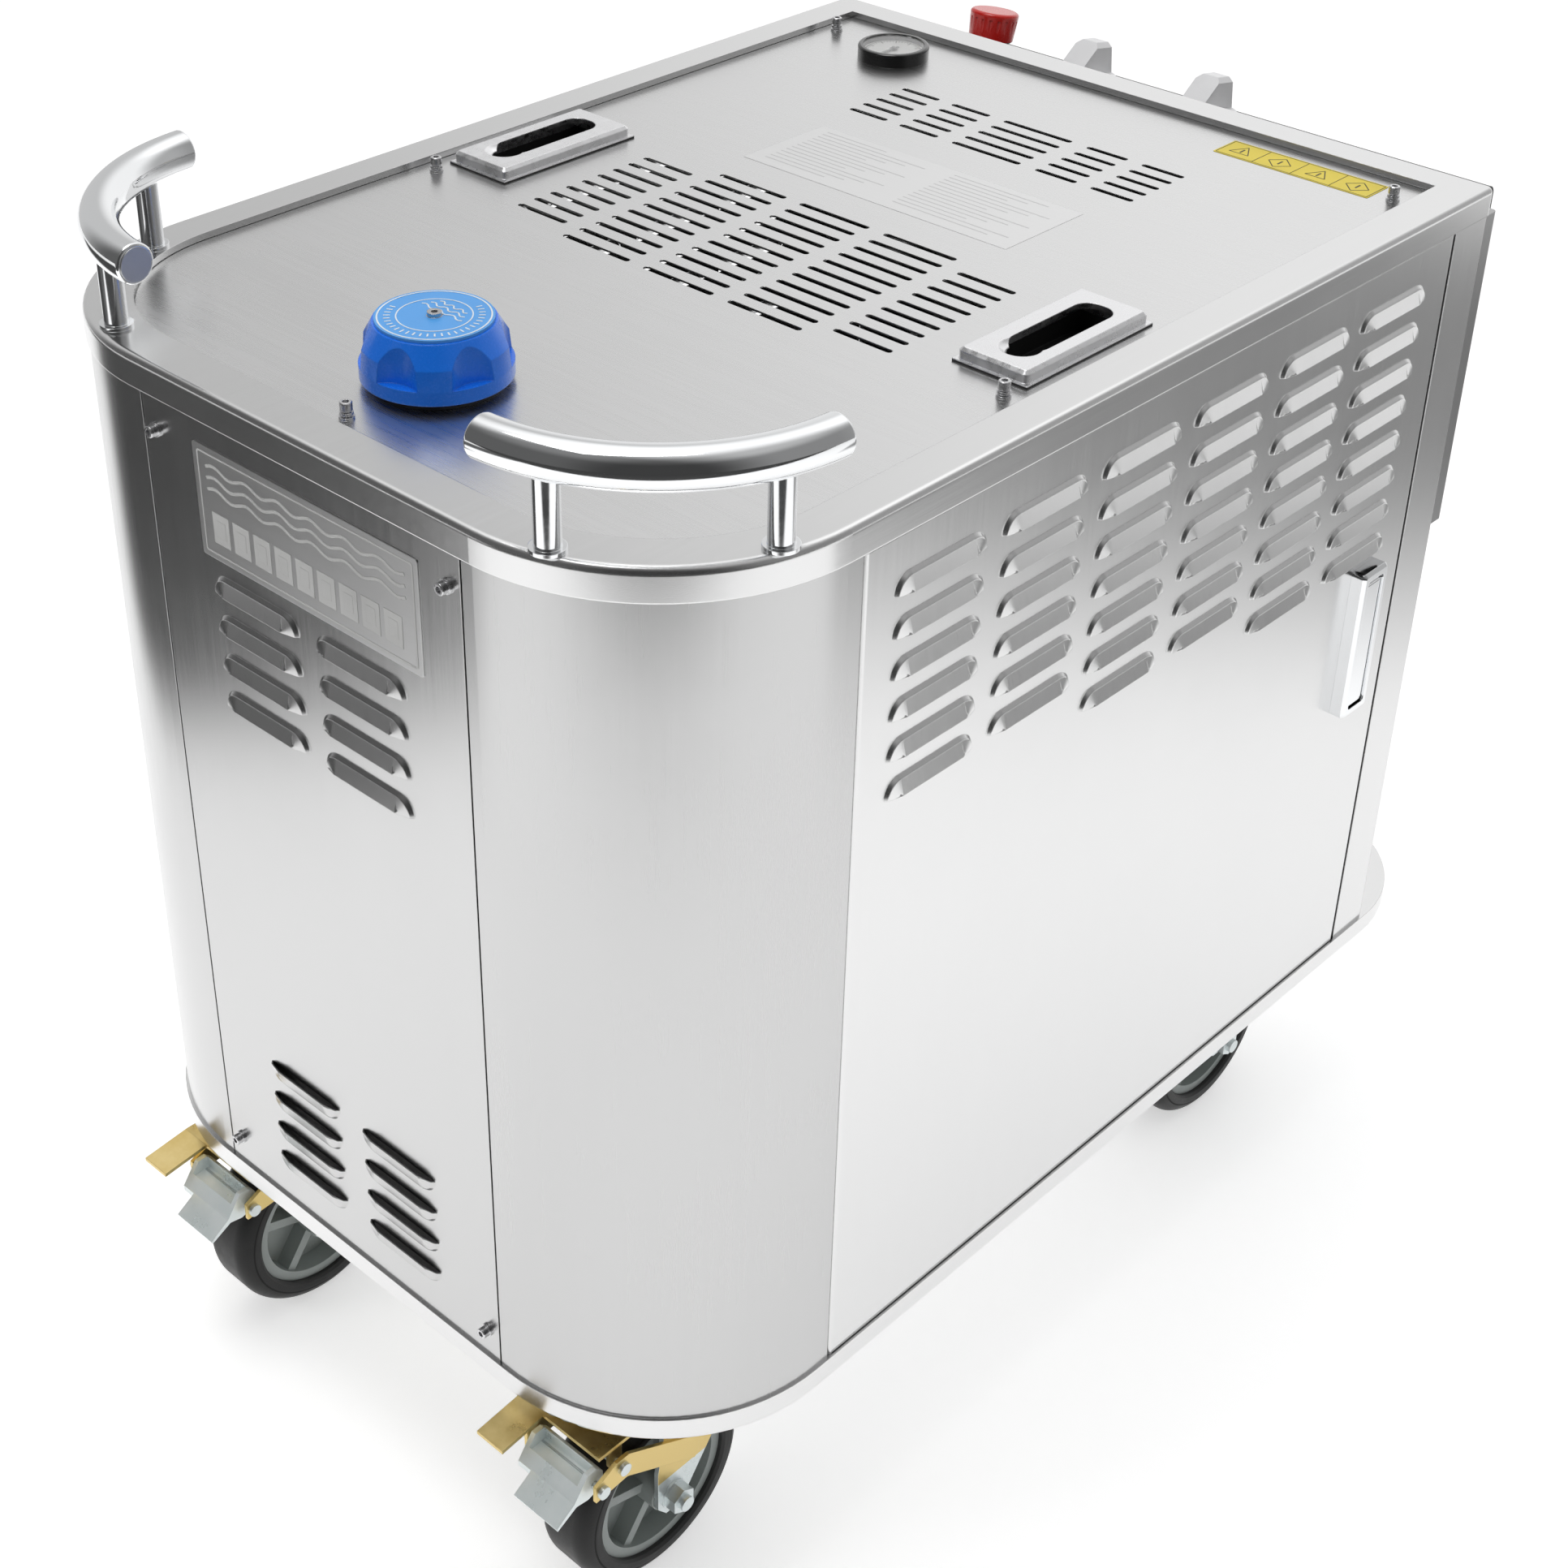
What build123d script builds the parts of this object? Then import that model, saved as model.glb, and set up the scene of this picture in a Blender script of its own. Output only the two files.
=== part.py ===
from build123d import *
import math
import os

# Mobile steam cleaner, millimetres. +X is the right side, -Y the front, +Z up.
# The origin lies on the floor, under the middle of the machine.

# --- overall size ---
WIDTH = 620.0
HALF = WIDTH / 2
FRONT = -472.0
BODY_LENGTH = 855.0
REAR = FRONT + BODY_LENGTH
BASE_REAR = 500.0
FRONT_RADIUS = 150.0
BASE_REAR_RADIUS = 112.0
BASE_BOTTOM = 185.0
BASE_TOP = 205.0
RIM_BOTTOM = 847.0
RIM_TOP = 870.0
LID_TOP = 865.0

# --- sheet metal ---
SHEET = 1.5
INSET = 2.0
SKIN_X = HALF - INSET
SKIN_FRONT = FRONT + INSET
BASE_WALL = 3.0
FRAME_HALF = 262.0
SEAM = 0.8

# --- top rim ---
RIM_SIDE = 31.5
RIM_FRONT = 33.4
RIM_REAR = 30.0
RIM_INNER_RADIUS = 119.0
LEDGE = 12.0
RIM_ROLL = 5.0

# --- doors ---
DOOR_FRONT = FRONT + 163.7
DOOR_REAR = FRONT + 810.2
DOOR_GAP = 1.0
DOOR_FLANGE = 12.0
DOOR_FOLD = 3.0
DOOR_BOTTOM = BASE_TOP + 1.2
DOOR_TOP = RIM_BOTTOM - 1.2
HINGE_X = SKIN_X - DOOR_FOLD
HINGE_Y = DOOR_FRONT + DOOR_GAP + DOOR_FOLD
PIN_RADIUS = 2.5
RUNNING_GAP = 0.05
PIN_LENGTH = 9.0

# --- pressed louvres ---
HOOD_LENGTH = 85.0
HOOD_HEIGHT = 13.5
HOOD_DEPTH = 5.0
HOOD_KNEE_DEPTH = 2.4
HOOD_KNEE_DROP = 2.2
HOOD_KNEE_RADIUS = 2.0
HOOD_WALL = 1.2
HOOD_PITCH = 28.8
HOOD_TOP_ROW = BASE_TOP + 602.0
DOOR_COLUMN_ROWS = (6, 6, 7, 7, 8, 8)
DOOR_COLUMN_PITCH = 100.0
DOOR_FIRST_COLUMN = FRONT + 234.0
FRONT_COLUMNS = (-49.0, 52.5)
FRONT_ROWS = 4
FRONT_TOP_ROW = BASE_TOP + 522.0
SCOOP_TOP_ROW = BASE_TOP + 130.0
SCOOP_LENGTH = 76.0
FRONT_PANEL_HALF = 150.0

# --- lid slots: column centre, length, rows and first row ---
SLOT_WIDTH = 5.0
SLOT_PITCH = 15.7
LONG_SLOT = 64.0
SHORT_SLOT = 48.5
REAR_SLOT = 36.8
FRONT_FIELD = FRONT + 329.0
REAR_FIELD = FRONT + 657.0

# --- lid fittings ---
CAP_Y = FRONT + 118.0
CAP_RADIUS = 48.0
CAP_TOP_RADIUS = 38.5
CAP_SKIRT = 9.0
CAP_SCALLOP = 22.6
CAP_SCALLOP_REACH = 63.0
CAP_SCALLOP_ANGLE = -12.5
CAP_BOTTOM = LID_TOP + 5.5
CAP_TOP = LID_TOP + 43.5
NECK_RADIUS = 30.0
NECK_WALL = 4.0
NECK_BOTTOM = 802.0
NECK_TOP = CAP_TOP - 18.0
GAUGE_X = -188.0
GAUGE_Y = FRONT + 772.0
GAUGE_RADIUS = 29.0
GAUGE_HEIGHT = 11.0
PULL_X = 237.0
PULL_Y = FRONT + 428.0
PULL_WIDTH = 55.0
PULL_LENGTH = 128.0
PULL_HEIGHT = 10.0
PULL_CUP_DEPTH = 14.0
PULL_MOUTH_X = 1.5
PULL_MOUTH_Y = 5.0
PULL_MOUTH_WIDTH = 28.0
PULL_MOUTH_LENGTH = 88.0
SCREW_HEAD_RADIUS = 4.0
LID_SCREW_HEIGHT = 11.0
PANEL_SCREW_HEIGHT = 6.5
PANEL_SCREW_X = 137.5
PANEL_SCREW_ZS = (BASE_TOP + 24.0, BASE_TOP + 619.0)

# --- corner handles ---
HANDLE_RISE = 57.0
HANDLE_RADIUS = 13.5
HANDLE_ARC = 142.0
HANDLE_WALL = 2.0
POST_RADIUS = 8.0
POST_ANGLES = (-70.5, -17.5)
HANDLE_ANGLES = (-88.0, -2.0)
LEFT_HANDLE_SHIFT = (11.0, 4.0)

# --- rear pan and control console ---
PAN_DEPTH = 18.0
PAN_BOTTOM = BASE_TOP + 384.0
PAN_TOP = BASE_TOP + 640.0
CONSOLE_HALF = 255.0
CONSOLE_DEPTH = 95.0
CONSOLE_BOTTOM = 640.0
CONSOLE_FRONT_TOP = 840.0
CONSOLE_TILT = 10.0
CONSOLE_FRONT = REAR + PAN_DEPTH
CONTROL_Y = CONSOLE_FRONT + 42.0
ESTOP_X = -200.0
ESTOP_RADIUS = 21.0
ESTOP_HEIGHT = 25.0
KNOB_XS = (-100.0, 20.0)
KNOB_RADIUS = 29.0
KNOB_SKIRT = 7.0
KNOB_TOP = 32.0

# --- door latch: a plate with a lever that lifts from its lower end ---
LATCH_Y = FRONT + 755.0
LATCH_Z = BASE_TOP + 372.0
LATCH_BORE = 6.0
LATCH_TOP = BASE_TOP + 391.0
LATCH_BOTTOM = BASE_TOP + 262.0
LATCH_HALF = 17.0
LATCH_PLATE = 3.0
LATCH_LEVER_HALF = 3.4
LATCH_PIVOT_X = SKIN_X + 7.0
LATCH_PIVOT_Z = LATCH_TOP - 13.0

# --- rear services ---
REAR_SKIN = REAR - INSET
OUTLET_XS = (120.0, 190.0)
OUTLET_Z = 400.0
DRAIN_X = 215.0
DRAIN_Z = 262.0
INLET_X = -200.0
INLET_Z = 300.0

# --- casters ---
WHEEL_RADIUS = 80.0
TYRE_INNER = 61.0
TYRE_HALF = 25.0
SHOULDER_RADIUS = 13.0
CASTER_XS = {"left": -179.0, "right": 207.0}
CASTER_YS = (FRONT + 125.0, FRONT + 812.0)
TRAIL = 45.0
FORK_TOP = 170.0
FORK_PLATE = 5.0
LEG_INNER = 29.0
LEG_SHEET = 4.0
AXLE_RADIUS = 6.0
KING_RADIUS = 6.0
PLATE_BOTTOM = 180.0
RACE_BOTTOM = FORK_TOP + 0.4
PLATE_HOLES_X = 60.0
PLATE_HOLES_Y = 80.0

# --- front caster brake, measured from the swivel axis ---
EAR_PIN = (-97.0, 153.0)
FLAP_PIN = (-117.0, 146.0)
BRAKE_PIN_RADIUS = 3.0


def block(x0, x1, y0, y1, z0, z1):
    size = Box(x1 - x0, y1 - y0, z1 - z0)
    return Pos((x0 + x1) / 2, (y0 + y1) / 2, (z0 + z1) / 2) * size


def rod_x(radius, x0, x1, y, z):
    return Pos((x0 + x1) / 2, y, z) * Rot(0, 90, 0) * Cylinder(radius, x1 - x0)


def rod_y(radius, y0, y1, x, z):
    return Pos(x, (y0 + y1) / 2, z) * Rot(90, 0, 0) * Cylinder(radius, y1 - y0)


def rod_z(radius, z0, z1, x, y):
    return Pos(x, y, (z0 + z1) / 2) * Cylinder(radius, z1 - z0)


def hexagon(across_flats, z0, z1):
    face = RegularPolygon(across_flats / math.sqrt(3), 6)
    return Pos(0, 0, z0) * extrude(face, z1 - z0)


def slab(face, z0, z1):
    return Pos(0, 0, z0) * extrude(face, z1 - z0)


def mirrored(shape):
    return mirror(shape, about=Plane.YZ)


def both_sides(shape):
    return Compound(children=[*shape.solids(), *mirrored(shape).solids()])


def group(shapes):
    solids = []
    for shape in shapes:
        solids.extend(shape.solids())
    return Compound(children=solids)


def save(shape, name):
    export_step(shape, "parts/" + name + ".step")


def rounded_plan(half, y0, y1, front_radius, rear_radius):
    face = Pos(0, (y0 + y1) / 2) * Rectangle(2 * half, y1 - y0)
    if front_radius > 0:
        face = fillet(face.vertices().sort_by(Axis.Y)[:2], front_radius)
    if rear_radius > 0:
        face = fillet(face.vertices().sort_by(Axis.Y)[-2:], rear_radius)
    return face


def caster_places():
    return [(x, y) for x in CASTER_XS.values() for y in CASTER_YS]


def plate_hole_places():
    half_x = PLATE_HOLES_X / 2
    half_y = PLATE_HOLES_Y / 2
    return [(-half_x, -half_y), (half_x, -half_y), (-half_x, half_y), (half_x, half_y)]


# --- base, frame and rim ---

def base_plan(inset):
    return rounded_plan(HALF - inset, FRONT + inset, BASE_REAR - inset,
                        FRONT_RADIUS - inset, BASE_REAR_RADIUS - inset)


def body_plan(inset):
    return rounded_plan(HALF - inset, FRONT + inset, REAR - inset, FRONT_RADIUS - inset, 0)


def base_tray():
    tray = slab(base_plan(0), BASE_BOTTOM, BASE_TOP)
    lower_edge = tray.edges().filter_by_position(Axis.Z, BASE_BOTTOM, BASE_BOTTOM)
    tray = fillet(lower_edge, 4.0)
    tray -= slab(base_plan(BASE_WALL), BASE_BOTTOM + BASE_WALL, BASE_TOP - BASE_WALL)
    opening = rounded_plan(HALF - BASE_WALL, FRONT + BASE_WALL, REAR - 25, FRONT_RADIUS - BASE_WALL, 0)
    tray -= slab(opening, BASE_TOP - 2 * BASE_WALL, BASE_TOP + 1)
    for x, y in caster_places():
        for dx, dy in plate_hole_places():
            tray -= rod_z(4.5, BASE_BOTTOM - 1, BASE_BOTTOM + 6, x + dx, y + dy)
    return tray


def inner_frame():
    bar = 20.0
    x1 = FRAME_HALF
    floor = BASE_BOTTOM + BASE_WALL
    posts = []
    for y in (FRONT + 175, REAR - 70):
        posts.append(block(x1 - bar, x1, y, y + bar, floor, RIM_BOTTOM))
        posts.append(block(-x1, bar - x1, y, y + bar, floor, RIM_BOTTOM))
    front_y = FRONT + 175
    rear_y = REAR - 70
    frame = posts[0] + posts[1:]
    for z in (floor, 530.0, RIM_BOTTOM - bar):
        frame += block(-x1, x1, front_y, front_y + bar, z, z + bar)
        frame += block(-x1, x1, rear_y, rear_y + bar, z, z + bar)
    for side in (-1, 1):
        low, high = sorted((side * x1, side * (x1 - bar)))
        frame += block(low, high, front_y, rear_y, floor, floor + bar)
    for y in (front_y, rear_y):
        frame += block(-x1 - 25, x1 + 25, y, y + bar, RIM_BOTTOM - 4, RIM_BOTTOM)
    shelf_front = FRONT + 40
    frame += block(-130, 130, shelf_front, front_y + bar, 550.0, 554.0)
    return frame


def top_rim():
    rim = slab(rounded_plan(HALF, FRONT, REAR, FRONT_RADIUS, RIM_ROLL), RIM_BOTTOM, RIM_TOP)
    rim = fillet(rim.edges().filter_by_position(Axis.Z, RIM_TOP, RIM_TOP), RIM_ROLL)
    rim = fillet(rim.edges().filter_by_position(Axis.Z, RIM_BOTTOM, RIM_BOTTOM), 1.5)
    seat = rounded_plan(HALF - RIM_SIDE, FRONT + RIM_FRONT, REAR - RIM_REAR, RIM_INNER_RADIUS, 0)
    hole = rounded_plan(HALF - RIM_SIDE - LEDGE, FRONT + RIM_FRONT + LEDGE, REAR - RIM_REAR - LEDGE,
                        RIM_INNER_RADIUS - LEDGE, 0)
    rim -= slab(seat, LID_TOP - SHEET, RIM_TOP + 1)
    rim -= slab(hole, RIM_BOTTOM - 1, RIM_TOP)
    groove = block(HALF - RIM_SIDE + 6, HALF - 5, FRONT + 190, REAR - 20, RIM_BOTTOM - 1, RIM_TOP - 8)
    return rim - groove - mirrored(groove)


# --- louvred panels ---

def hood_profile(wall, back):
    """Side outline of a louvre: steep at its top edge, then a flatter ramp down to the mouth."""
    top = HOOD_HEIGHT - wall
    out = HOOD_DEPTH - wall
    knee = (HOOD_KNEE_DEPTH - wall / 2, top - HOOD_KNEE_DROP)
    outline = make_face(Polyline((-back, 0), (out, 0), knee, (0, top), (-back, top), close=True))
    at_knee = outline.vertices().sort_by_distance(Vertex(*knee, 0))[0]
    return fillet(at_knee, HOOD_KNEE_RADIUS)


def hood(length, wall, back, floor):
    """Ramp between two ends turned about the corners of the mouth, cut off at the mouth."""
    profile = Plane.YZ * hood_profile(wall, back)
    half = length / 2 - HOOD_HEIGHT
    ramp = extrude(profile, half, both=True)
    end = revolve(profile, Axis.Y)
    capsule = ramp + mirror(ramp, Plane.XY) + Pos(half, 0, 0) * end + Pos(-half, 0, 0) * end
    return capsule & block(-length, length, -HOOD_HEIGHT, HOOD_HEIGHT, floor, 2 * HOOD_HEIGHT)


def pressed_louvres(panel, places, length):
    outer = hood(length, 0, 0.5, 0)
    inner = hood(length, HOOD_WALL, SHEET + 0.5, -0.5)
    panel = panel + [place * outer for place in places]
    return panel - [place * inner for place in places]


def door_louvre_places():
    places = []
    for column, rows in enumerate(DOOR_COLUMN_ROWS):
        y = DOOR_FIRST_COLUMN + column * DOOR_COLUMN_PITCH
        for row in range(rows):
            places.append(Pos(SKIN_X, y, HOOD_TOP_ROW - row * HOOD_PITCH) * Rot(0, 0, -90))
    return places


def front_louvre_places():
    places = []
    for x in FRONT_COLUMNS:
        for row in range(FRONT_ROWS):
            places.append(Pos(x, SKIN_FRONT, FRONT_TOP_ROW - row * HOOD_PITCH) * Rot(0, 0, 180))
    return places


def front_scoop_places():
    places = []
    for x in FRONT_COLUMNS:
        for row in range(FRONT_ROWS):
            places.append(Pos(x, SKIN_FRONT, SCOOP_TOP_ROW - row * HOOD_PITCH) * Rot(180, 0, 0))
    return places


def front_panel():
    half = FRONT_PANEL_HALF - SEAM
    panel = block(-half, half, SKIN_FRONT, SKIN_FRONT + SHEET, BASE_TOP, RIM_BOTTOM)
    for side in (-1, 1):
        low, high = sorted((side * half, side * (half - SHEET)))
        panel += block(low, high, SKIN_FRONT, SKIN_FRONT + 12, BASE_TOP, RIM_BOTTOM)
    panel = pressed_louvres(panel, front_louvre_places(), HOOD_LENGTH)
    return pressed_louvres(panel, front_scoop_places(), SCOOP_LENGTH)


def corner_panel():
    outer = slab(body_plan(INSET), BASE_TOP, RIM_BOTTOM)
    inner = slab(body_plan(INSET + SHEET), BASE_TOP, RIM_BOTTOM)
    seam = FRONT_PANEL_HALF + SEAM
    window = block(seam, HALF, FRONT, DOOR_FRONT - SEAM, BASE_TOP, RIM_BOTTOM)
    panel = (outer - inner) & window
    panel += block(seam, seam + SHEET, SKIN_FRONT + SHEET / 2, SKIN_FRONT + 12, BASE_TOP, RIM_BOTTOM)
    flange_y = DOOR_FRONT - SEAM
    return panel + block(SKIN_X - 14, SKIN_X - SHEET / 2, flange_y - SHEET, flange_y, BASE_TOP, RIM_BOTTOM)


def door():
    y0 = DOOR_FRONT + DOOR_GAP
    y1 = DOOR_REAR - DOOR_GAP
    x0 = SKIN_X - DOOR_FLANGE
    shell = block(x0, SKIN_X, y0, y1, DOOR_BOTTOM, DOOR_TOP)
    fold = shell.edges().filter_by(Axis.Z).group_by(Axis.X)[-1]
    shell = fillet(fold, DOOR_FOLD)
    pocket = block(x0 - 1, SKIN_X - SHEET, y0 + SHEET, y1 - SHEET, DOOR_BOTTOM + SHEET, DOOR_TOP - SHEET)
    shell -= fillet(pocket.edges().filter_by(Axis.Z).group_by(Axis.X)[-1], DOOR_FOLD - SHEET)
    shell -= rod_z(PIN_RADIUS + RUNNING_GAP, DOOR_BOTTOM - 1, DOOR_TOP + 1, HINGE_X, HINGE_Y)
    shell = pressed_louvres(shell, door_louvre_places(), HOOD_LENGTH)
    return shell - rod_x(LATCH_BORE, SKIN_X - 5, SKIN_X + 5, LATCH_Y, LATCH_Z)


def door_hinges():
    pieces = []
    pieces.append(rod_z(PIN_RADIUS, BASE_TOP, BASE_TOP + PIN_LENGTH, HINGE_X, HINGE_Y)
                  + block(HINGE_X - 16, HALF - BASE_WALL, HINGE_Y - 12, HINGE_Y + 12, BASE_TOP - 3, BASE_TOP))
    pieces.append(rod_z(PIN_RADIUS, RIM_BOTTOM - PIN_LENGTH, RIM_BOTTOM, HINGE_X, HINGE_Y))
    return group(pieces + [mirrored(piece) for piece in pieces])


def latch_plate():
    x0 = SKIN_X
    plate = block(x0, x0 + 12, LATCH_Y - LATCH_HALF, LATCH_Y + LATCH_HALF, LATCH_BOTTOM, LATCH_TOP)
    plate = fillet(plate.edges().filter_by(Axis.X), 4.0)
    plate = chamfer(plate.faces().sort_by(Axis.X)[-1].edges(), 2.5)
    well = block(x0 + LATCH_PLATE, x0 + 20, LATCH_Y - 11, LATCH_Y + 11, LATCH_BOTTOM + 7, LATCH_TOP - 7)
    plate -= fillet(well.edges().filter_by(Axis.X), 3.0)
    plate += rod_x(LATCH_BORE - 0.2, x0 - 14, x0 + 1, LATCH_Y, LATCH_Z)
    plate += block(x0 - 17, x0 - 13, LATCH_Y - 8, LATCH_Y + 34, LATCH_Z - 9, LATCH_Z + 9)
    return plate + rod_y(2.0, LATCH_Y - 12, LATCH_Y + 12, LATCH_PIVOT_X, LATCH_PIVOT_Z)


def latch_lever():
    x0 = LATCH_PIVOT_X - LATCH_LEVER_HALF
    x1 = LATCH_PIVOT_X + LATCH_LEVER_HALF
    lever = block(x0, x1, LATCH_Y - 10, LATCH_Y + 10, LATCH_BOTTOM + 9, LATCH_PIVOT_Z + LATCH_LEVER_HALF)
    lever = fillet(lever.edges().filter_by(Axis.Z).group_by(Axis.X)[-1], 1.5)
    lever = fillet(lever.edges().filter_by(Axis.Y).group_by(Axis.Z)[-1], LATCH_LEVER_HALF - 0.1)
    lever -= block(x0 - 1, x0 + 3, LATCH_Y - 7, LATCH_Y + 7, LATCH_BOTTOM + 12, LATCH_PIVOT_Z - 16)
    return lever - rod_y(2.05, LATCH_Y - 15, LATCH_Y + 15, LATCH_PIVOT_X, LATCH_PIVOT_Z)


# --- rear of the body ---

def rear_posts():
    post = block(SKIN_X - SHEET, SKIN_X, DOOR_REAR + SEAM, REAR - INSET, BASE_TOP, RIM_BOTTOM)
    post += block(SKIN_X - 30, SKIN_X, REAR - INSET - SHEET, REAR - INSET, BASE_TOP, RIM_BOTTOM)
    post += block(SKIN_X - 14, SKIN_X, DOOR_REAR + SEAM, DOOR_REAR + SEAM + SHEET, BASE_TOP, RIM_BOTTOM)
    return both_sides(post)


def rear_panel():
    half = SKIN_X - 30 - SEAM
    panel = block(-half, half, REAR_SKIN - SHEET, REAR_SKIN, BASE_TOP, RIM_BOTTOM)
    slots = Sketch() + [
        Pos(x, z) * SlotOverall(LONG_SLOT, SLOT_WIDTH)
        for x in (-50.0, 30.0)
        for z in [250.0 + 15.0 * row for row in range(8)]
    ]
    return panel - extrude(Plane.XZ * Pos(0, 0, -REAR_SKIN) * slots, 5, both=True)


def rear_pan():
    pan = block(-306, 306, REAR, REAR + PAN_DEPTH, PAN_BOTTOM, PAN_TOP)
    pan = fillet(pan.edges().filter_by(Axis.Z).group_by(Axis.Y)[-1], 4.0)
    return pan - block(-302, 302, REAR - 1, REAR + PAN_DEPTH - 2, PAN_BOTTOM + 3, PAN_TOP - 3)


def console_side(inset):
    drop = math.tan(math.radians(CONSOLE_TILT)) * CONSOLE_DEPTH
    y0 = CONSOLE_FRONT
    y1 = CONSOLE_FRONT + CONSOLE_DEPTH - inset
    top = CONSOLE_FRONT_TOP - inset
    points = [(y0, CONSOLE_BOTTOM + inset), (y1 - 30, CONSOLE_BOTTOM + inset),
              (y1, CONSOLE_BOTTOM + 60), (y1, top - drop), (y0, top)]
    return make_face(Polyline(*points, close=True))


def control_console():
    shell = extrude(Plane.YZ * console_side(0), CONSOLE_HALF, both=True)
    shell = fillet(shell.edges().filter_by(Axis.X).group_by(Axis.Y)[-1], 8.0)
    cavity = extrude(Plane.YZ * console_side(3.0), CONSOLE_HALF - 3.0, both=True)
    shell -= cavity
    for x in (ESTOP_X, *KNOB_XS):
        shell -= on_console(x) * rod_z(6.05, -12, 5, 0, 0)
    return shell


def on_console(x):
    fall = math.tan(math.radians(CONSOLE_TILT)) * (CONTROL_Y - CONSOLE_FRONT)
    return Pos(x, CONTROL_Y, CONSOLE_FRONT_TOP - fall) * Rot(-CONSOLE_TILT, 0, 0)


def estop_collar():
    ring = rod_z(22, 0, 3, 0, 0) - rod_z(13, -1, 4, 0, 0)
    return on_console(ESTOP_X) * ring


def estop_plunger():
    stem = rod_z(6.0, -14, 9.4, 0, 0) + rod_z(12.5, 3.4, 9.4, 0, 0)
    return on_console(ESTOP_X) * stem


def estop_head():
    head = Pos(0, 0, 9.8 + ESTOP_HEIGHT / 2) * Cone(ESTOP_RADIUS - 2, ESTOP_RADIUS, ESTOP_HEIGHT)
    head = fillet(head.edges().group_by(Axis.Z)[-1], 3.0)
    head = chamfer(head.edges().group_by(Axis.Z)[0], 1.5)
    for step in range(18):
        head -= Rot(0, 0, step * 20) * rod_z(1.6, 8, 4 + ESTOP_HEIGHT, ESTOP_RADIUS + 0.2, 0)
    return on_console(ESTOP_X) * head


def selector_knob(x):
    disc = rod_z(KNOB_RADIUS, 0.5, KNOB_SKIRT, 0, 0)
    disc = chamfer(disc.edges().group_by(Axis.Z)[-1], 2.5)
    foot = make_face(Polyline((-25, KNOB_SKIRT - 1), (25, KNOB_SKIRT - 1), (17, KNOB_TOP), (1, KNOB_TOP), close=True))
    wedge = extrude(Plane.YZ * foot, 11, both=True)
    wedge = chamfer(wedge.edges().filter_by(Axis.Y).group_by(Axis.Z)[-1], 4.0)
    wedge = fillet(wedge.edges().group_by(Axis.Z)[-1], 1.5)
    return on_console(x) * (disc + wedge + rod_z(6.0, -12, 1, 0, 0))


def steam_outlets():
    pieces = []
    for x in OUTLET_XS:
        body = rod_y(14, REAR_SKIN, REAR_SKIN + 12, x, OUTLET_Z)
        body += rod_y(10, REAR_SKIN + 12, REAR_SKIN + 34, x, OUTLET_Z)
        body += rod_y(12, REAR_SKIN + 34, REAR_SKIN + 46, x, OUTLET_Z)
        pieces.append(body - rod_y(6, REAR_SKIN - 1, REAR_SKIN + 50, x, OUTLET_Z))
    return group(pieces)


def drain_valve():
    body = rod_y(13, REAR_SKIN, REAR_SKIN + 50, DRAIN_X, DRAIN_Z)
    body += Pos(DRAIN_X, REAR_SKIN + 22, DRAIN_Z) * Rot(-90, 0, 0) * hexagon(32, -8, 8)
    body -= rod_y(8, REAR_SKIN - 1, REAR_SKIN + 60, DRAIN_X, DRAIN_Z)
    return body + rod_z(4, DRAIN_Z + 12, DRAIN_Z + 30, DRAIN_X, REAR_SKIN + 22)


def drain_lever():
    z = DRAIN_Z + 22
    arm = block(-7, 7, -10, 70, 0, 3)
    arm = fillet(arm.edges().filter_by(Axis.Z), 6.0)
    arm = Pos(DRAIN_X, REAR_SKIN + 22, z) * Rot(0, 0, 90) * arm
    return arm - rod_z(4.05, z - 1, z + 5, DRAIN_X, REAR_SKIN + 22)


def power_inlet():
    body = block(INLET_X - 45, INLET_X + 45, REAR_SKIN, REAR_SKIN + 30, INLET_Z - 45, INLET_Z + 45)
    body = fillet(body.edges().filter_by(Axis.Y), 8.0)
    body += rod_y(28, REAR_SKIN + 30, REAR_SKIN + 55, INLET_X, INLET_Z)
    return body - rod_y(23, REAR_SKIN + 15, REAR_SKIN + 60, INLET_X, INLET_Z)


# --- lid and what stands on it ---

def slot_field():
    field = []
    for row in range(11):
        y = FRONT_FIELD + row * SLOT_PITCH
        for x in (-78.2, 0.0, 78.2):
            field.append(Pos(x, y) * SlotOverall(LONG_SLOT, SLOT_WIDTH))
    for row in range(1, 10):
        y = FRONT_FIELD + row * SLOT_PITCH
        for x in (-148.8, 148.8):
            field.append(Pos(x, y) * SlotOverall(SHORT_SLOT, SLOT_WIDTH))
    for row in range(5):
        y = REAR_FIELD + row * SLOT_PITCH
        field.append(Pos(0, y) * SlotOverall(LONG_SLOT, SLOT_WIDTH))
        for x in (-115.2, -65.0, 65.0, 115.2):
            field.append(Pos(x, y) * SlotOverall(REAR_SLOT, SLOT_WIDTH))
    return field


def lid_panel():
    gap = 0.8
    face = rounded_plan(HALF - RIM_SIDE - gap, FRONT + RIM_FRONT + gap, REAR - RIM_REAR - gap,
                        RIM_INNER_RADIUS - gap, 0)
    face -= slot_field()
    face -= Pos(0, CAP_Y) * Circle(NECK_RADIUS + 1)
    for side in (-1, 1):
        face -= Pos(side * PULL_X, PULL_Y) * Rectangle(PULL_WIDTH - 15, PULL_LENGTH - 20)
    return slab(face, LID_TOP - SHEET, LID_TOP)


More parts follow.
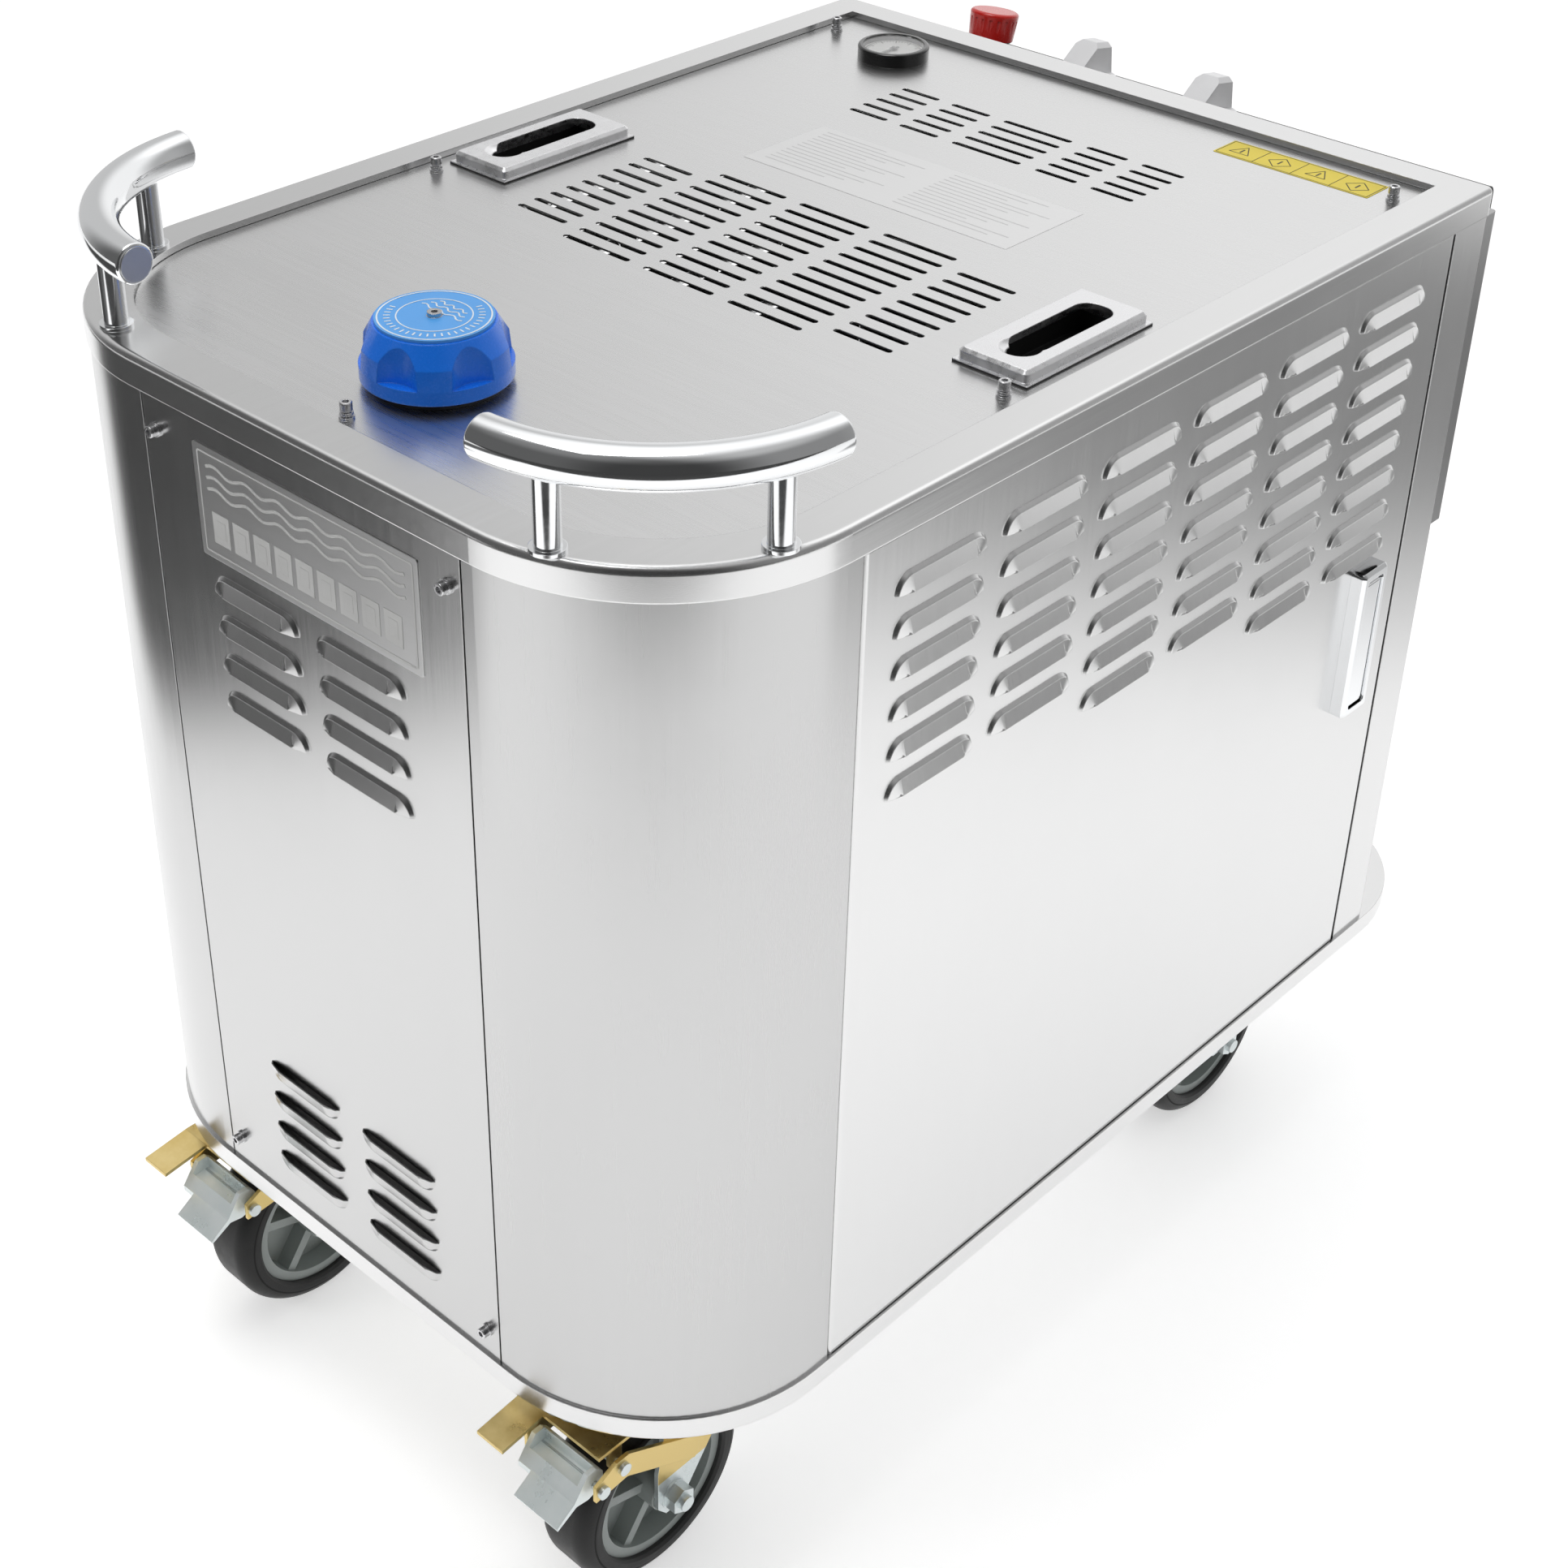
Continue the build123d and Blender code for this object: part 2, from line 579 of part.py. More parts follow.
def lid_pull():
    body = block(-PULL_WIDTH / 2, PULL_WIDTH / 2, -PULL_LENGTH / 2, PULL_LENGTH / 2, 0, PULL_HEIGHT)
    body = fillet(body.edges().filter_by(Axis.Z), 4.0)
    body = chamfer(body.faces().sort_by(Axis.Z)[-1].edges(), 2.5)
    body += block(-PULL_WIDTH / 2 - 2, PULL_WIDTH / 2 + 2, -PULL_LENGTH / 2 - 2, PULL_LENGTH / 2 + 2, 0, 2)
    cup_half_y = PULL_LENGTH / 2 - 11
    cup_half_x = PULL_WIDTH / 2 - 8.5
    body += block(-cup_half_x, cup_half_x, -cup_half_y, cup_half_y, -PULL_CUP_DEPTH, 0)
    cavity = block(-cup_half_x + 2, cup_half_x - 2, -cup_half_y + 2, cup_half_y - 2,
                   -PULL_CUP_DEPTH + 2, PULL_HEIGHT - 4)
    mouth = fillet(Rectangle(PULL_MOUTH_WIDTH, PULL_MOUTH_LENGTH).vertices(), 12.0)
    mouth = Pos(PULL_MOUTH_X, PULL_MOUTH_Y, 0) * extrude(mouth, PULL_HEIGHT + 2)
    scoop = Pos(PULL_MOUTH_X, PULL_MOUTH_Y - PULL_MOUTH_LENGTH / 2 + 2, PULL_HEIGHT + 14) * Sphere(20)
    return Pos(PULL_X, PULL_Y, LID_TOP) * (body - cavity - mouth - scoop)


def socket_screw(height):
    """Cap screw on a washer; the tall ones stand on a spacer sleeve."""
    washer = rod_z(5.0, 0, 1.6, 0, 0)
    sleeve = rod_z(2.9, 1.6, height - 5.0, 0, 0) if height > 8 else washer
    head = rod_z(SCREW_HEAD_RADIUS, max(1.6, height - 5.6), height, 0, 0)
    head = chamfer(head.edges().group_by(Axis.Z)[-1], 0.5)
    collar = rod_z(4.4, 2.6, 4.4, 0, 0) if height > 8 else washer
    return washer + sleeve + collar + head - hexagon(4.0, height - 3.0, height + 1)


def cover_screws():
    places = [(0, FRONT + 46), (262, FRONT + 345), (-262, FRONT + 345),
              (265, FRONT + 790), (-265, FRONT + 790)]
    screws = [Pos(x, y, LID_TOP) * socket_screw(LID_SCREW_HEIGHT) for x, y in places]
    for x in (-PANEL_SCREW_X, PANEL_SCREW_X):
        for z in PANEL_SCREW_ZS:
            screws.append(Pos(x, SKIN_FRONT, z) * Rot(90, 0, 0) * socket_screw(PANEL_SCREW_HEIGHT))
    return group(screws)


def gauge_case():
    case = rod_z(GAUGE_RADIUS, 0, GAUGE_HEIGHT, 0, 0)
    case = fillet(case.edges().group_by(Axis.Z)[-1], 2.0)
    case -= rod_z(GAUGE_RADIUS - 4, 4, GAUGE_HEIGHT + 1, 0, 0)
    case += rod_z(1.5, 3.5, 7.5, 0, 0)
    return Pos(GAUGE_X, GAUGE_Y, LID_TOP) * case


def gauge_lens():
    return Pos(GAUGE_X, GAUGE_Y, LID_TOP) * rod_z(GAUGE_RADIUS - 4, 8.8, 10.2, 0, 0)


def gauge_needle():
    blade = block(-1.1, 1.1, -20, 6, 5.5, 6.3) + rod_z(3.2, 5.5, 6.3, 0, 0)
    blade = blade - rod_z(1.55, 5, 8, 0, 0)
    return Pos(GAUGE_X, GAUGE_Y, LID_TOP) * blade


def filler_neck():
    neck = rod_z(NECK_RADIUS, NECK_BOTTOM, NECK_TOP, 0, CAP_Y)
    neck += rod_z(NECK_RADIUS + 12, LID_TOP, LID_TOP + 2.5, 0, CAP_Y)
    return neck - rod_z(NECK_RADIUS - NECK_WALL, NECK_BOTTOM - 1, NECK_TOP + 1, 0, CAP_Y)


def cap_gasket():
    ring = rod_z(NECK_RADIUS, NECK_TOP, NECK_TOP + 3, 0, CAP_Y)
    return ring - rod_z(NECK_RADIUS - NECK_WALL, NECK_TOP - 1, NECK_TOP + 4, 0, CAP_Y)


def cap_shell():
    ceiling = NECK_TOP + 3.3 - CAP_BOTTOM
    top = CAP_TOP - 2 - CAP_BOTTOM
    bore = NECK_RADIUS + 0.6
    outline = Polyline((0, top), (0, ceiling), (bore, ceiling), (bore, 5.5), (bore + 13.9, 5.5), (bore + 13.9, 0),
                       (CAP_RADIUS, 0), (CAP_RADIUS, CAP_SKIRT), (CAP_RADIUS - 1.5, 22), (CAP_TOP_RADIUS, top),
                       close=True)
    cap = revolve(Plane.XZ * make_face(outline), axis=Axis.Z)
    for step in range(6):
        turn = Rot(0, 0, 60 * step + CAP_SCALLOP_ANGLE)
        cap -= turn * rod_z(CAP_SCALLOP, CAP_SKIRT, top + 1, CAP_SCALLOP_REACH, 0)
    return Pos(0, CAP_Y, CAP_BOTTOM) * cap


def cap_disc():
    disc = rod_z(CAP_TOP_RADIUS - 1.5, 0, 2.0, 0, 0)
    disc += rod_z(4.6, 2.0, 4.5, 0, 0)
    disc -= hexagon(4.0, 1.8, 5.0)
    return Pos(0, CAP_Y, CAP_TOP - 2) * disc


def corner_handle():
    cx = HALF - FRONT_RADIUS
    cy = FRONT + FRONT_RADIUS
    z = RIM_TOP + HANDLE_RISE
    start, end = HANDLE_ANGLES
    arc = CenterArc((cx, cy, z), HANDLE_ARC, start, end - start)
    tube = sweep(Plane(origin=arc @ 0, z_dir=arc % 0) * Circle(HANDLE_RADIUS), path=arc)
    cheeks = fillet(tube.edges().filter_by(GeomType.CIRCLE), 2.0)
    posts = []
    for angle in POST_ANGLES:
        x = cx + HANDLE_ARC * math.cos(math.radians(angle))
        y = cy + HANDLE_ARC * math.sin(math.radians(angle))
        posts.append(rod_z(POST_RADIUS, RIM_TOP, z - HANDLE_RADIUS + 3, x, y))
        posts.append(rod_z(POST_RADIUS + 3, RIM_TOP, RIM_TOP + 2.5, x, y))
    return cheeks + posts


# --- inside the body ---

def boiler():
    x, y = 60.0, 90.0
    shell = rod_z(125, 230, 680, x, y)
    shell = fillet(shell.edges().filter_by(GeomType.CIRCLE), 35.0)
    shell += rod_z(40, 670, 760, x, y)
    shell += rod_z(24, 250, 290, x - 130, y) & block(-200, -40, 50, 130, 240, 300)
    inner = rod_z(121, 234, 676, x, y)
    shell -= fillet(inner.edges().filter_by(GeomType.CIRCLE), 31.0)
    shell -= rod_z(34, 660, 761, x, y)
    for angle in (30, 150, 270):
        leg = Rot(0, 0, angle) * block(95, 115, -10, 10, BASE_BOTTOM + BASE_WALL, 262)
        shell += Pos(x, y, 0) * leg
    return shell


def water_tank():
    tank = block(-115, 115, FRONT + 45, FRONT + 165, 554, NECK_BOTTOM)
    tank = fillet(tank.edges().filter_by(Axis.Z), 18.0)
    return tank - rod_z(NECK_RADIUS - NECK_WALL, NECK_BOTTOM - 120, NECK_BOTTOM + 1, 0, CAP_Y)


def pump_unit():
    y = -210.0
    floor = BASE_BOTTOM + BASE_WALL
    motor = rod_x(55, -200, -40, y, floor + 75)
    motor += block(-190, -60, y - 35, y + 35, floor, floor + 40)
    motor += block(-40, 30, y - 45, y + 45, floor + 20, floor + 120)
    for step in range(3):
        motor += rod_z(12, floor + 120, floor + 150, -20 + 20 * step, y - 15 + 15 * step)
    return motor


def control_board():
    return block(-150, 150, REAR - 58, REAR - 12, 560, 780)


# --- casters ---

def caster_plate(x, y):
    plate = block(x - 41, x + 41, y - 52, y + 52, PLATE_BOTTOM, BASE_BOTTOM)
    plate = fillet(plate.edges().filter_by(Axis.Z), 6.0)
    plate += rod_z(32, RACE_BOTTOM, PLATE_BOTTOM, x, y)
    plate += rod_z(KING_RADIUS, FORK_TOP - FORK_PLATE - 0.4, RACE_BOTTOM, x, y)
    plate += Pos(x, y, 0) * hexagon(19.0, FORK_TOP - FORK_PLATE - 6.4, FORK_TOP - FORK_PLATE - 0.4)
    for dx, dy in plate_hole_places():
        plate -= rod_z(4.5, PLATE_BOTTOM - 1, BASE_BOTTOM + 1, x + dx, y + dy)
    return plate


def plate_bolts(x, y):
    bolts = []
    for dx, dy in plate_hole_places():
        head = Pos(x + dx, y + dy, 0) * hexagon(13.0, PLATE_BOTTOM - 5.3, PLATE_BOTTOM)
        bolts.append(head + rod_z(4.0, PLATE_BOTTOM - 1, BASE_BOTTOM + 6, x + dx, y + dy))
    return bolts


def caster_plates():
    pieces = []
    for x, y in caster_places():
        pieces.append(caster_plate(x, y))
        pieces.extend(plate_bolts(x, y))
    return group(pieces)


def fork_body():
    crown = rod_z(33, FORK_TOP - FORK_PLATE, FORK_TOP, 0, 0)
    crown += block(-LEG_INNER - LEG_SHEET, LEG_INNER + LEG_SHEET, -TRAIL, 0, FORK_TOP - FORK_PLATE, FORK_TOP)
    outline = Polyline((28, FORK_TOP), (28, FORK_TOP - 14), (-TRAIL + 15, WHEEL_RADIUS - 6),
                       (-TRAIL + 7, WHEEL_RADIUS - 16), (-TRAIL - 7, WHEEL_RADIUS - 16),
                       (-TRAIL - 15, WHEEL_RADIUS - 6), (-TRAIL - 15, WHEEL_RADIUS + 30),
                       (-TRAIL - 5, FORK_TOP), close=True)
    leg = extrude(Plane.YZ * make_face(outline), LEG_SHEET)
    fork = crown + Pos(LEG_INNER, 0, 0) * leg + Pos(-LEG_INNER - LEG_SHEET, 0, 0) * leg
    fork -= rod_z(KING_RADIUS + RUNNING_GAP, FORK_TOP - FORK_PLATE - 1, FORK_TOP + 1, 0, 0)
    return fork - rod_x(AXLE_RADIUS, -50, 50, -TRAIL, WHEEL_RADIUS)


def axle_bolt():
    outer = LEG_INNER + LEG_SHEET
    centre = Pos(0, -TRAIL, WHEEL_RADIUS) * Rot(0, 90, 0)
    bolt = rod_x(AXLE_RADIUS, -outer - 10, outer + 15, -TRAIL, WHEEL_RADIUS)
    bolt += centre * hexagon(19.0, outer + 1.6, outer + 11)
    bolt += rod_x(12.0, outer, outer + 1.8, -TRAIL, WHEEL_RADIUS)
    bolt += centre * hexagon(17.0, -outer - 10, -outer)
    return bolt


def brake_bracket():
    x0 = LEG_INNER + LEG_SHEET
    outline = Polyline((-26, 104), (-22, 108), (-22, 124), (EAR_PIN[0] + 6, EAR_PIN[1] + 9),
                       (EAR_PIN[0] - 6, EAR_PIN[1] + 9), (FLAP_PIN[0] - 6, FLAP_PIN[1] + 7),
                       (FLAP_PIN[0] - 6, FLAP_PIN[1] - 7), (EAR_PIN[0] + 4, EAR_PIN[1] - 12), close=True)
    plate = extrude(Plane.YZ * make_face(outline), 3.0)
    plates = [Pos(x0, 0, 0) * plate, Pos(-x0 - 3, 0, 0) * plate]
    pins = [rod_x(BRAKE_PIN_RADIUS, -x0, x0, *EAR_PIN), rod_x(BRAKE_PIN_RADIUS, -x0, x0, *FLAP_PIN)]
    for y, z in (EAR_PIN, FLAP_PIN):
        pins.append(rod_x(5.0, x0 + 3, x0 + 6, y, z))
        pins.append(rod_x(5.0, -x0 - 6, -x0 - 3, y, z))
    return plates + pins


def lock_lever():
    # The wide yellow lever: a plate over the wheel with a foot tab at its left.
    plate = block(-51, 30, -114, -60, 168, 171)
    tab = make_face(Polyline((-113, 171), (-113, 168), (-153, 163.5), (-153, 166.5), close=True))
    plate += Pos(-51, 0, 0) * extrude(Plane.YZ * tab, 26)
    for x in (-28.5, 25.5):
        ear = block(x, x + 3, EAR_PIN[0] - 6, EAR_PIN[0] + 6, EAR_PIN[1], 169)
        ear += rod_x(6, x, x + 3, *EAR_PIN)
        plate += ear
    return plate - rod_x(BRAKE_PIN_RADIUS + RUNNING_GAP, -40, 40, *EAR_PIN)


def release_lever():
    # The zinc housing over the tyre with the hanging release flap in front.
    y, z = FLAP_PIN
    outline = Polyline((y + 8, z - 6), (y + 8, z + 8), (y + 2, z + 14), (y - 6, z + 14), (y - 19, z - 4),
                       (y - 36, z - 15), (y - 35, z - 17.5), (y - 17, z - 8), (y - 6, z - 10), close=True)
    lever = extrude(Plane.YZ * make_face(outline), 28, both=True)
    lever -= block(-40, -15, y - 45, y - 19.5, z - 30, z + 3)
    lever = lever - block(-24, 24, y - 12, y + 3, z + 3, z + 20)
    return lever - rod_x(BRAKE_PIN_RADIUS + RUNNING_GAP, -40, 40, y, z)


def hub():
    rim = rod_x(TYRE_INNER, -20, 20, 0, 0) - rod_x(TYRE_INNER - 8, -21, 21, 0, 0)
    wheel = rim + rod_x(17, -LEG_INNER + 0.5, LEG_INNER - 0.5, 0, 0)
    wheel += rod_x(TYRE_INNER - 6, -3, 3, 0, 0)
    spoke = block(-17, 17, -4, 4, 12, TYRE_INNER - 4)
    for step in range(5):
        wheel += Rot(72 * step, 0, 0) * spoke
    return wheel - rod_x(AXLE_RADIUS + RUNNING_GAP, -40, 40, 0, 0)


def tyre():
    flat = TYRE_HALF - SHOULDER_RADIUS
    shoulder = WHEEL_RADIUS - SHOULDER_RADIUS
    with BuildPart() as ring:
        with BuildSketch(Plane.XY):
            with BuildLine():
                Polyline((-TYRE_HALF, shoulder), (-TYRE_HALF, TYRE_INNER + 2), (2 - TYRE_HALF, TYRE_INNER),
                         (TYRE_HALF - 2, TYRE_INNER), (TYRE_HALF, TYRE_INNER + 2), (TYRE_HALF, shoulder))
                CenterArc((flat, shoulder), SHOULDER_RADIUS, 0, 90)
                Line((flat, WHEEL_RADIUS), (-flat, WHEEL_RADIUS))
                CenterArc((-flat, shoulder), SHOULDER_RADIUS, 90, 90)
            make_face()
        revolve(axis=Axis.X)
    return ring.part


def casters():
    wheel_hub = hub()
    wheel_tyre = tyre()
    plain_fork = [fork_body(), axle_bolt()]
    braked_fork = plain_fork + brake_bracket()
    lock = lock_lever()
    release = release_lever()
    for side, x in CASTER_XS.items():
        for end, y in zip(("front", "rear"), CASTER_YS):
            name = end + "_" + side
            swivel = Pos(x, y, 0)
            axle = Pos(x, y - TRAIL, WHEEL_RADIUS)
            save(axle * wheel_hub, "hub_" + name)
            save(axle * wheel_tyre, "tyre_" + name)
            fork = braked_fork if end == "front" else plain_fork
            save(group([swivel * piece for piece in fork]), "fork_" + name)
            if end == "front":
                save(swivel * lock, "lock_lever_" + name)
                save(swivel * release, "release_lever_" + name)


def body():
    save(base_tray(), "base_tray")
    save(inner_frame(), "inner_frame")
    save(top_rim(), "top_rim")
    save(front_panel(), "front_panel")
    corner = corner_panel()
    save(corner, "corner_panel_right")
    save(mirrored(corner), "corner_panel_left")
    save(rear_posts(), "rear_posts")
    save(rear_panel(), "rear_panel")
    save(rear_pan(), "rear_pan")
    save(caster_plates(), "caster_plates")


def doors():
    save(door_hinges(), "door_hinges")
    panel = door()
    plate = latch_plate()
    lever = latch_lever()
    save(panel, "door_right")
    save(mirrored(panel), "door_left")
    save(plate, "latch_plate_right")
    save(mirrored(plate), "latch_plate_left")
    save(lever, "latch_lever_right")
    save(mirrored(lever), "latch_lever_left")


def lid():
    save(lid_panel(), "lid_panel")
    pull = lid_pull()
    save(pull, "lid_pull_right")
    save(mirrored(pull), "lid_pull_left")
    save(cover_screws(), "cover_screws")
    save(gauge_case(), "gauge_case")
    save(gauge_lens(), "gauge_lens")
    save(gauge_needle(), "gauge_needle")
    save(filler_neck(), "filler_neck")
    save(cap_gasket(), "cap_gasket")
    save(cap_shell(), "cap_shell")
    save(cap_disc(), "cap_disc")
    handle = corner_handle()
    save(handle, "corner_handle_right")
    save(Pos(*LEFT_HANDLE_SHIFT, 0) * mirrored(handle), "corner_handle_left")


def rear_fittings():
    save(control_console(), "control_console")
    save(estop_collar(), "estop_collar")
    save(estop_plunger(), "estop_plunger")
    save(estop_head(), "estop_head")
    for index, x in enumerate(KNOB_XS):
        save(selector_knob(x), "selector_knob_" + str(index + 1))
    save(steam_outlets(), "steam_outlets")
    save(drain_valve(), "drain_valve")
    save(drain_lever(), "drain_lever")
    save(power_inlet(), "power_inlet")


def inside():
    save(boiler(), "boiler")
    save(water_tank(), "water_tank")
    save(pump_unit(), "pump_unit")
    save(control_board(), "control_board")


body()
doors()
lid()
rear_fittings()
inside()
casters()
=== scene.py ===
import math

import bmesh
import bpy
from mathutils import Matrix, Vector

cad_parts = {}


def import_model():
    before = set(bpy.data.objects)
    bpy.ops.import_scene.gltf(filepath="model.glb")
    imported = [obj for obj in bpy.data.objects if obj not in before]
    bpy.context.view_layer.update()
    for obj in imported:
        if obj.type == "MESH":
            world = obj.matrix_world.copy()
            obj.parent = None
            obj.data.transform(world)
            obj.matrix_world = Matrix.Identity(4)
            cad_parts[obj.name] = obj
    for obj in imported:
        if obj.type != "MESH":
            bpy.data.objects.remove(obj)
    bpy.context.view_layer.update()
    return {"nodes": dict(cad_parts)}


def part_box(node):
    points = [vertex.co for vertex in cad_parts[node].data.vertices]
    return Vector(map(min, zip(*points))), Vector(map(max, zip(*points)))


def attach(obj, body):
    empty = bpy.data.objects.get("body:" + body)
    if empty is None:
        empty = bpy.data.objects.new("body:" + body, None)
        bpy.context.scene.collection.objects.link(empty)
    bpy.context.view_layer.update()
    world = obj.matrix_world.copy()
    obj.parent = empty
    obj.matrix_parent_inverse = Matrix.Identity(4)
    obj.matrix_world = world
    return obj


# Mobile steam cleaner: looks. Metres, +X right side, -Y front, +Z up.

# The camera, solved from straight edges of the photo. Angles in degrees, lens in mm.
CAMERA_PLACE = (1.0944, -1.2628, 1.5559)
CAMERA_AZIMUTH = 43.52
CAMERA_PITCH = 32.26
CAMERA_ROLL = 0.508
CAMERA_LENS = 58.375
CAMERA_SHIFT = (0.0482, -0.0801)

FLOOR_SIZE = 7.0
FLOOR_TONE = 0.85
FLOOR_GLOW = 0.50
# Directions on the floor, used to place its dark patches.
FRONT = (0, -1, 0)
REAR = (0, 1, 0)
FRONT_LEFT = (-0.75, -0.66, 0)
REAR_RIGHT = (0.75, 0.66, 0)
FRONT_RIGHT = (0.66, -0.75, 0)
NEAREST_CORNER = (0.655, -0.756, 0)

# Where a finish changes within one CAD node.
PULL_CUP_TOP = 0.0012  # above the lid
BRACKET_REACH = (0.0329, 0.0361)  # sideways from the middle of the fork
BRACKET_FOOT = 0.100  # above the ground
TYRE_GROOVE = (0.0688, 0.0702)  # radii
TYRE_LIP = 0.0632  # radius
LEVER_BAR_WIDTH = 0.0024
LEVER_BAR_PITCH = 0.009
LEVER_BAR_BAND = (0.008, 0.019)  # from the lever's low edge
DOOR_SKIN = 0.0017  # thickness
DISC_SCREW_RADIUS = 0.0050

SMOOTH_ANGLE = 35.0

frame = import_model()
nodes = frame["nodes"]


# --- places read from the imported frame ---

def corners(name):
    low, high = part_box(name)
    return Vector(low), Vector(high)


def centre(name):
    low, high = corners(name)
    return (low + high) / 2


# --- shader helpers ---

class Shader:
    def __init__(self, name):
        self.material = bpy.data.materials.new(name)
        self.material.use_nodes = True
        self.tree = self.material.node_tree
        self.tree.nodes.clear()
        self.output = self.tree.nodes.new("ShaderNodeOutputMaterial")
        self.bsdf = self.tree.nodes.new("ShaderNodeBsdfPrincipled")
        self.link(self.bsdf.outputs["BSDF"], self.output.inputs["Surface"])
        self.coords = self.tree.nodes.new("ShaderNodeTexCoord").outputs["Object"]

    def link(self, source, target):
        self.tree.links.new(source, target)

    def put(self, socket, value):
        if isinstance(value, bpy.types.NodeSocket):
            self.link(value, socket)
        else:
            socket.default_value = value

    def set(self, **values):
        for key, value in values.items():
            self.put(self.bsdf.inputs[key.replace("_", " ")], value)
        return self

    def math(self, operation, a, b=0.0, clamp=False):
        node = self.tree.nodes.new("ShaderNodeMath")
        node.operation = operation
        node.use_clamp = clamp
        self.put(node.inputs[0], a)
        self.put(node.inputs[1], b)
        return node.outputs[0]

    def product(self, first, *others):
        for value in others:
            first = self.math("MULTIPLY", first, value)
        return first

    def inverse(self, value):
        return self.math("SUBTRACT", 1.0, value)

    def noise(self, scale, detail=2.0, rough=0.5):
        """Noise at one scale, or at a list of scales, one for each axis."""
        mapping = self.tree.nodes.new("ShaderNodeMapping")
        mapping.inputs["Scale"].default_value = scale if isinstance(scale, list) else [scale] * 3
        self.link(self.coords, mapping.inputs["Vector"])
        node = self.tree.nodes.new("ShaderNodeTexNoise")
        node.inputs["Scale"].default_value = 1.0
        node.inputs["Detail"].default_value = detail
        node.inputs["Roughness"].default_value = rough
        self.link(mapping.outputs[0], node.inputs["Vector"])
        return node.outputs["Fac"]

    def ramp(self, fac, low, high, from_low=0.0, from_high=1.0):
        """Low to high as the factor goes from from_low to from_high, and level beyond."""
        node = self.tree.nodes.new("ShaderNodeMapRange")
        node.clamp = True
        self.put(node.inputs["Value"], fac)
        node.inputs["From Min"].default_value = from_low
        node.inputs["From Max"].default_value = from_high
        node.inputs["To Min"].default_value = low
        node.inputs["To Max"].default_value = high
        return node.outputs["Result"]

    def mix(self, fac, a, b):
        node = self.tree.nodes.new("ShaderNodeMix")
        node.data_type = "RGBA"
        self.put(node.inputs["Factor"], fac)
        self.put(node.inputs["A"], a)
        self.put(node.inputs["B"], b)
        return node.outputs["Result"]

    def split(self):
        """The three object coordinates."""
        node = self.tree.nodes.new("ShaderNodeSeparateXYZ")
        self.link(self.coords, node.inputs[0])
        return node.outputs["X"], node.outputs["Y"], node.outputs["Z"]

    def distance(self, first, second, origin):
        """Distance from an origin in the plane of two coordinates."""
        a = self.math("SUBTRACT", first, origin[0])
        b = self.math("SUBTRACT", second, origin[1])
        return self.math("SQRT", self.math("ADD", self.product(a, a), self.product(b, b)))

    def between(self, value, low, high):
        """1 where the value is between two limits, and 0 elsewhere."""
        return self.product(self.math("GREATER_THAN", value, low), self.math("LESS_THAN", value, high))

    def overlay(self, mask, colour, metallic, rough):
        """Another finish where the mask is 1."""
        keep = self.inverse(mask)
        for name, value in (("Metallic", metallic), ("Roughness", rough)):
            socket = self.bsdf.inputs[name]
            old = socket.links[0].from_socket if socket.is_linked else socket.default_value
            self.link(self.math("ADD", self.product(keep, old), self.product(mask, value)), socket)
        socket = self.bsdf.inputs["Base Color"]
        old = socket.links[0].from_socket if socket.is_linked else tuple(socket.default_value)
        self.link(self.mix(mask, old, tint(colour)), socket)

    def bump(self, height, strength, distance, round_edges=0.0):
        """Relief from a height, with edges shaded as if rounded by a radius."""
        node = self.tree.nodes.new("ShaderNodeBump")
        node.inputs["Strength"].default_value = strength
        node.inputs["Distance"].default_value = distance
        self.link(height, node.inputs["Height"])
        if round_edges > 0:
            bevel = self.tree.nodes.new("ShaderNodeBevel")
            bevel.samples = 4
            bevel.inputs["Radius"].default_value = round_edges
            self.link(bevel.outputs["Normal"], node.inputs["Normal"])
        self.link(node.outputs["Normal"], self.bsdf.inputs["Normal"])
        return self


def grey(value):
    return (value, value, value, 1.0)


def tint(colour):
    return (*colour, 1.0)


def brushed(name, grain, base, rough, edge=0.0008):
    """Sheet metal brushed along one axis, with faint handling marks."""
    shader = Shader(name)
    line_scale = [1400.0] * 3
    line_scale[grain] = 14.0
    band_scale = [260.0] * 3
    band_scale[grain] = 3.0
    lines = shader.noise(line_scale, 3.0, 0.6)
    bands = shader.noise(band_scale, 2.0, 0.5)
    marks = shader.noise(7.0, 4.0, 0.6)
    shade = shader.math("ADD", shader.ramp(lines, -0.05, 0.05), shader.ramp(bands, -0.03, 0.03))
    tone = shader.mix(shader.math("ADD", 0.5, shader.product(shade, 4.0)),
                      grey(base * 0.93), grey(min(1.0, base * 1.05)))
    gloss = shader.math("ADD", rough, shader.product(shade, 0.8))
    gloss = shader.math("ADD", gloss, shader.ramp(marks, -0.035, 0.05), clamp=True)
    shader.set(Base_Color=tone, Metallic=1.0, Roughness=gloss)
    return shader.bump(lines, 0.10, 0.0001, edge)


def polished(name, base, rough, scale=60.0, edge=0.0006, grain=0.04):
    """Bare metal with a faint smear."""
    shader = Shader(name)
    smear = shader.noise(scale, 4.0, 0.6)
    shader.set(Base_Color=tint(base), Metallic=1.0,
               Roughness=shader.ramp(smear, rough * 0.6, rough * 1.7, 0.3, 0.7))
    return shader.bump(smear, grain, 0.0003, edge)


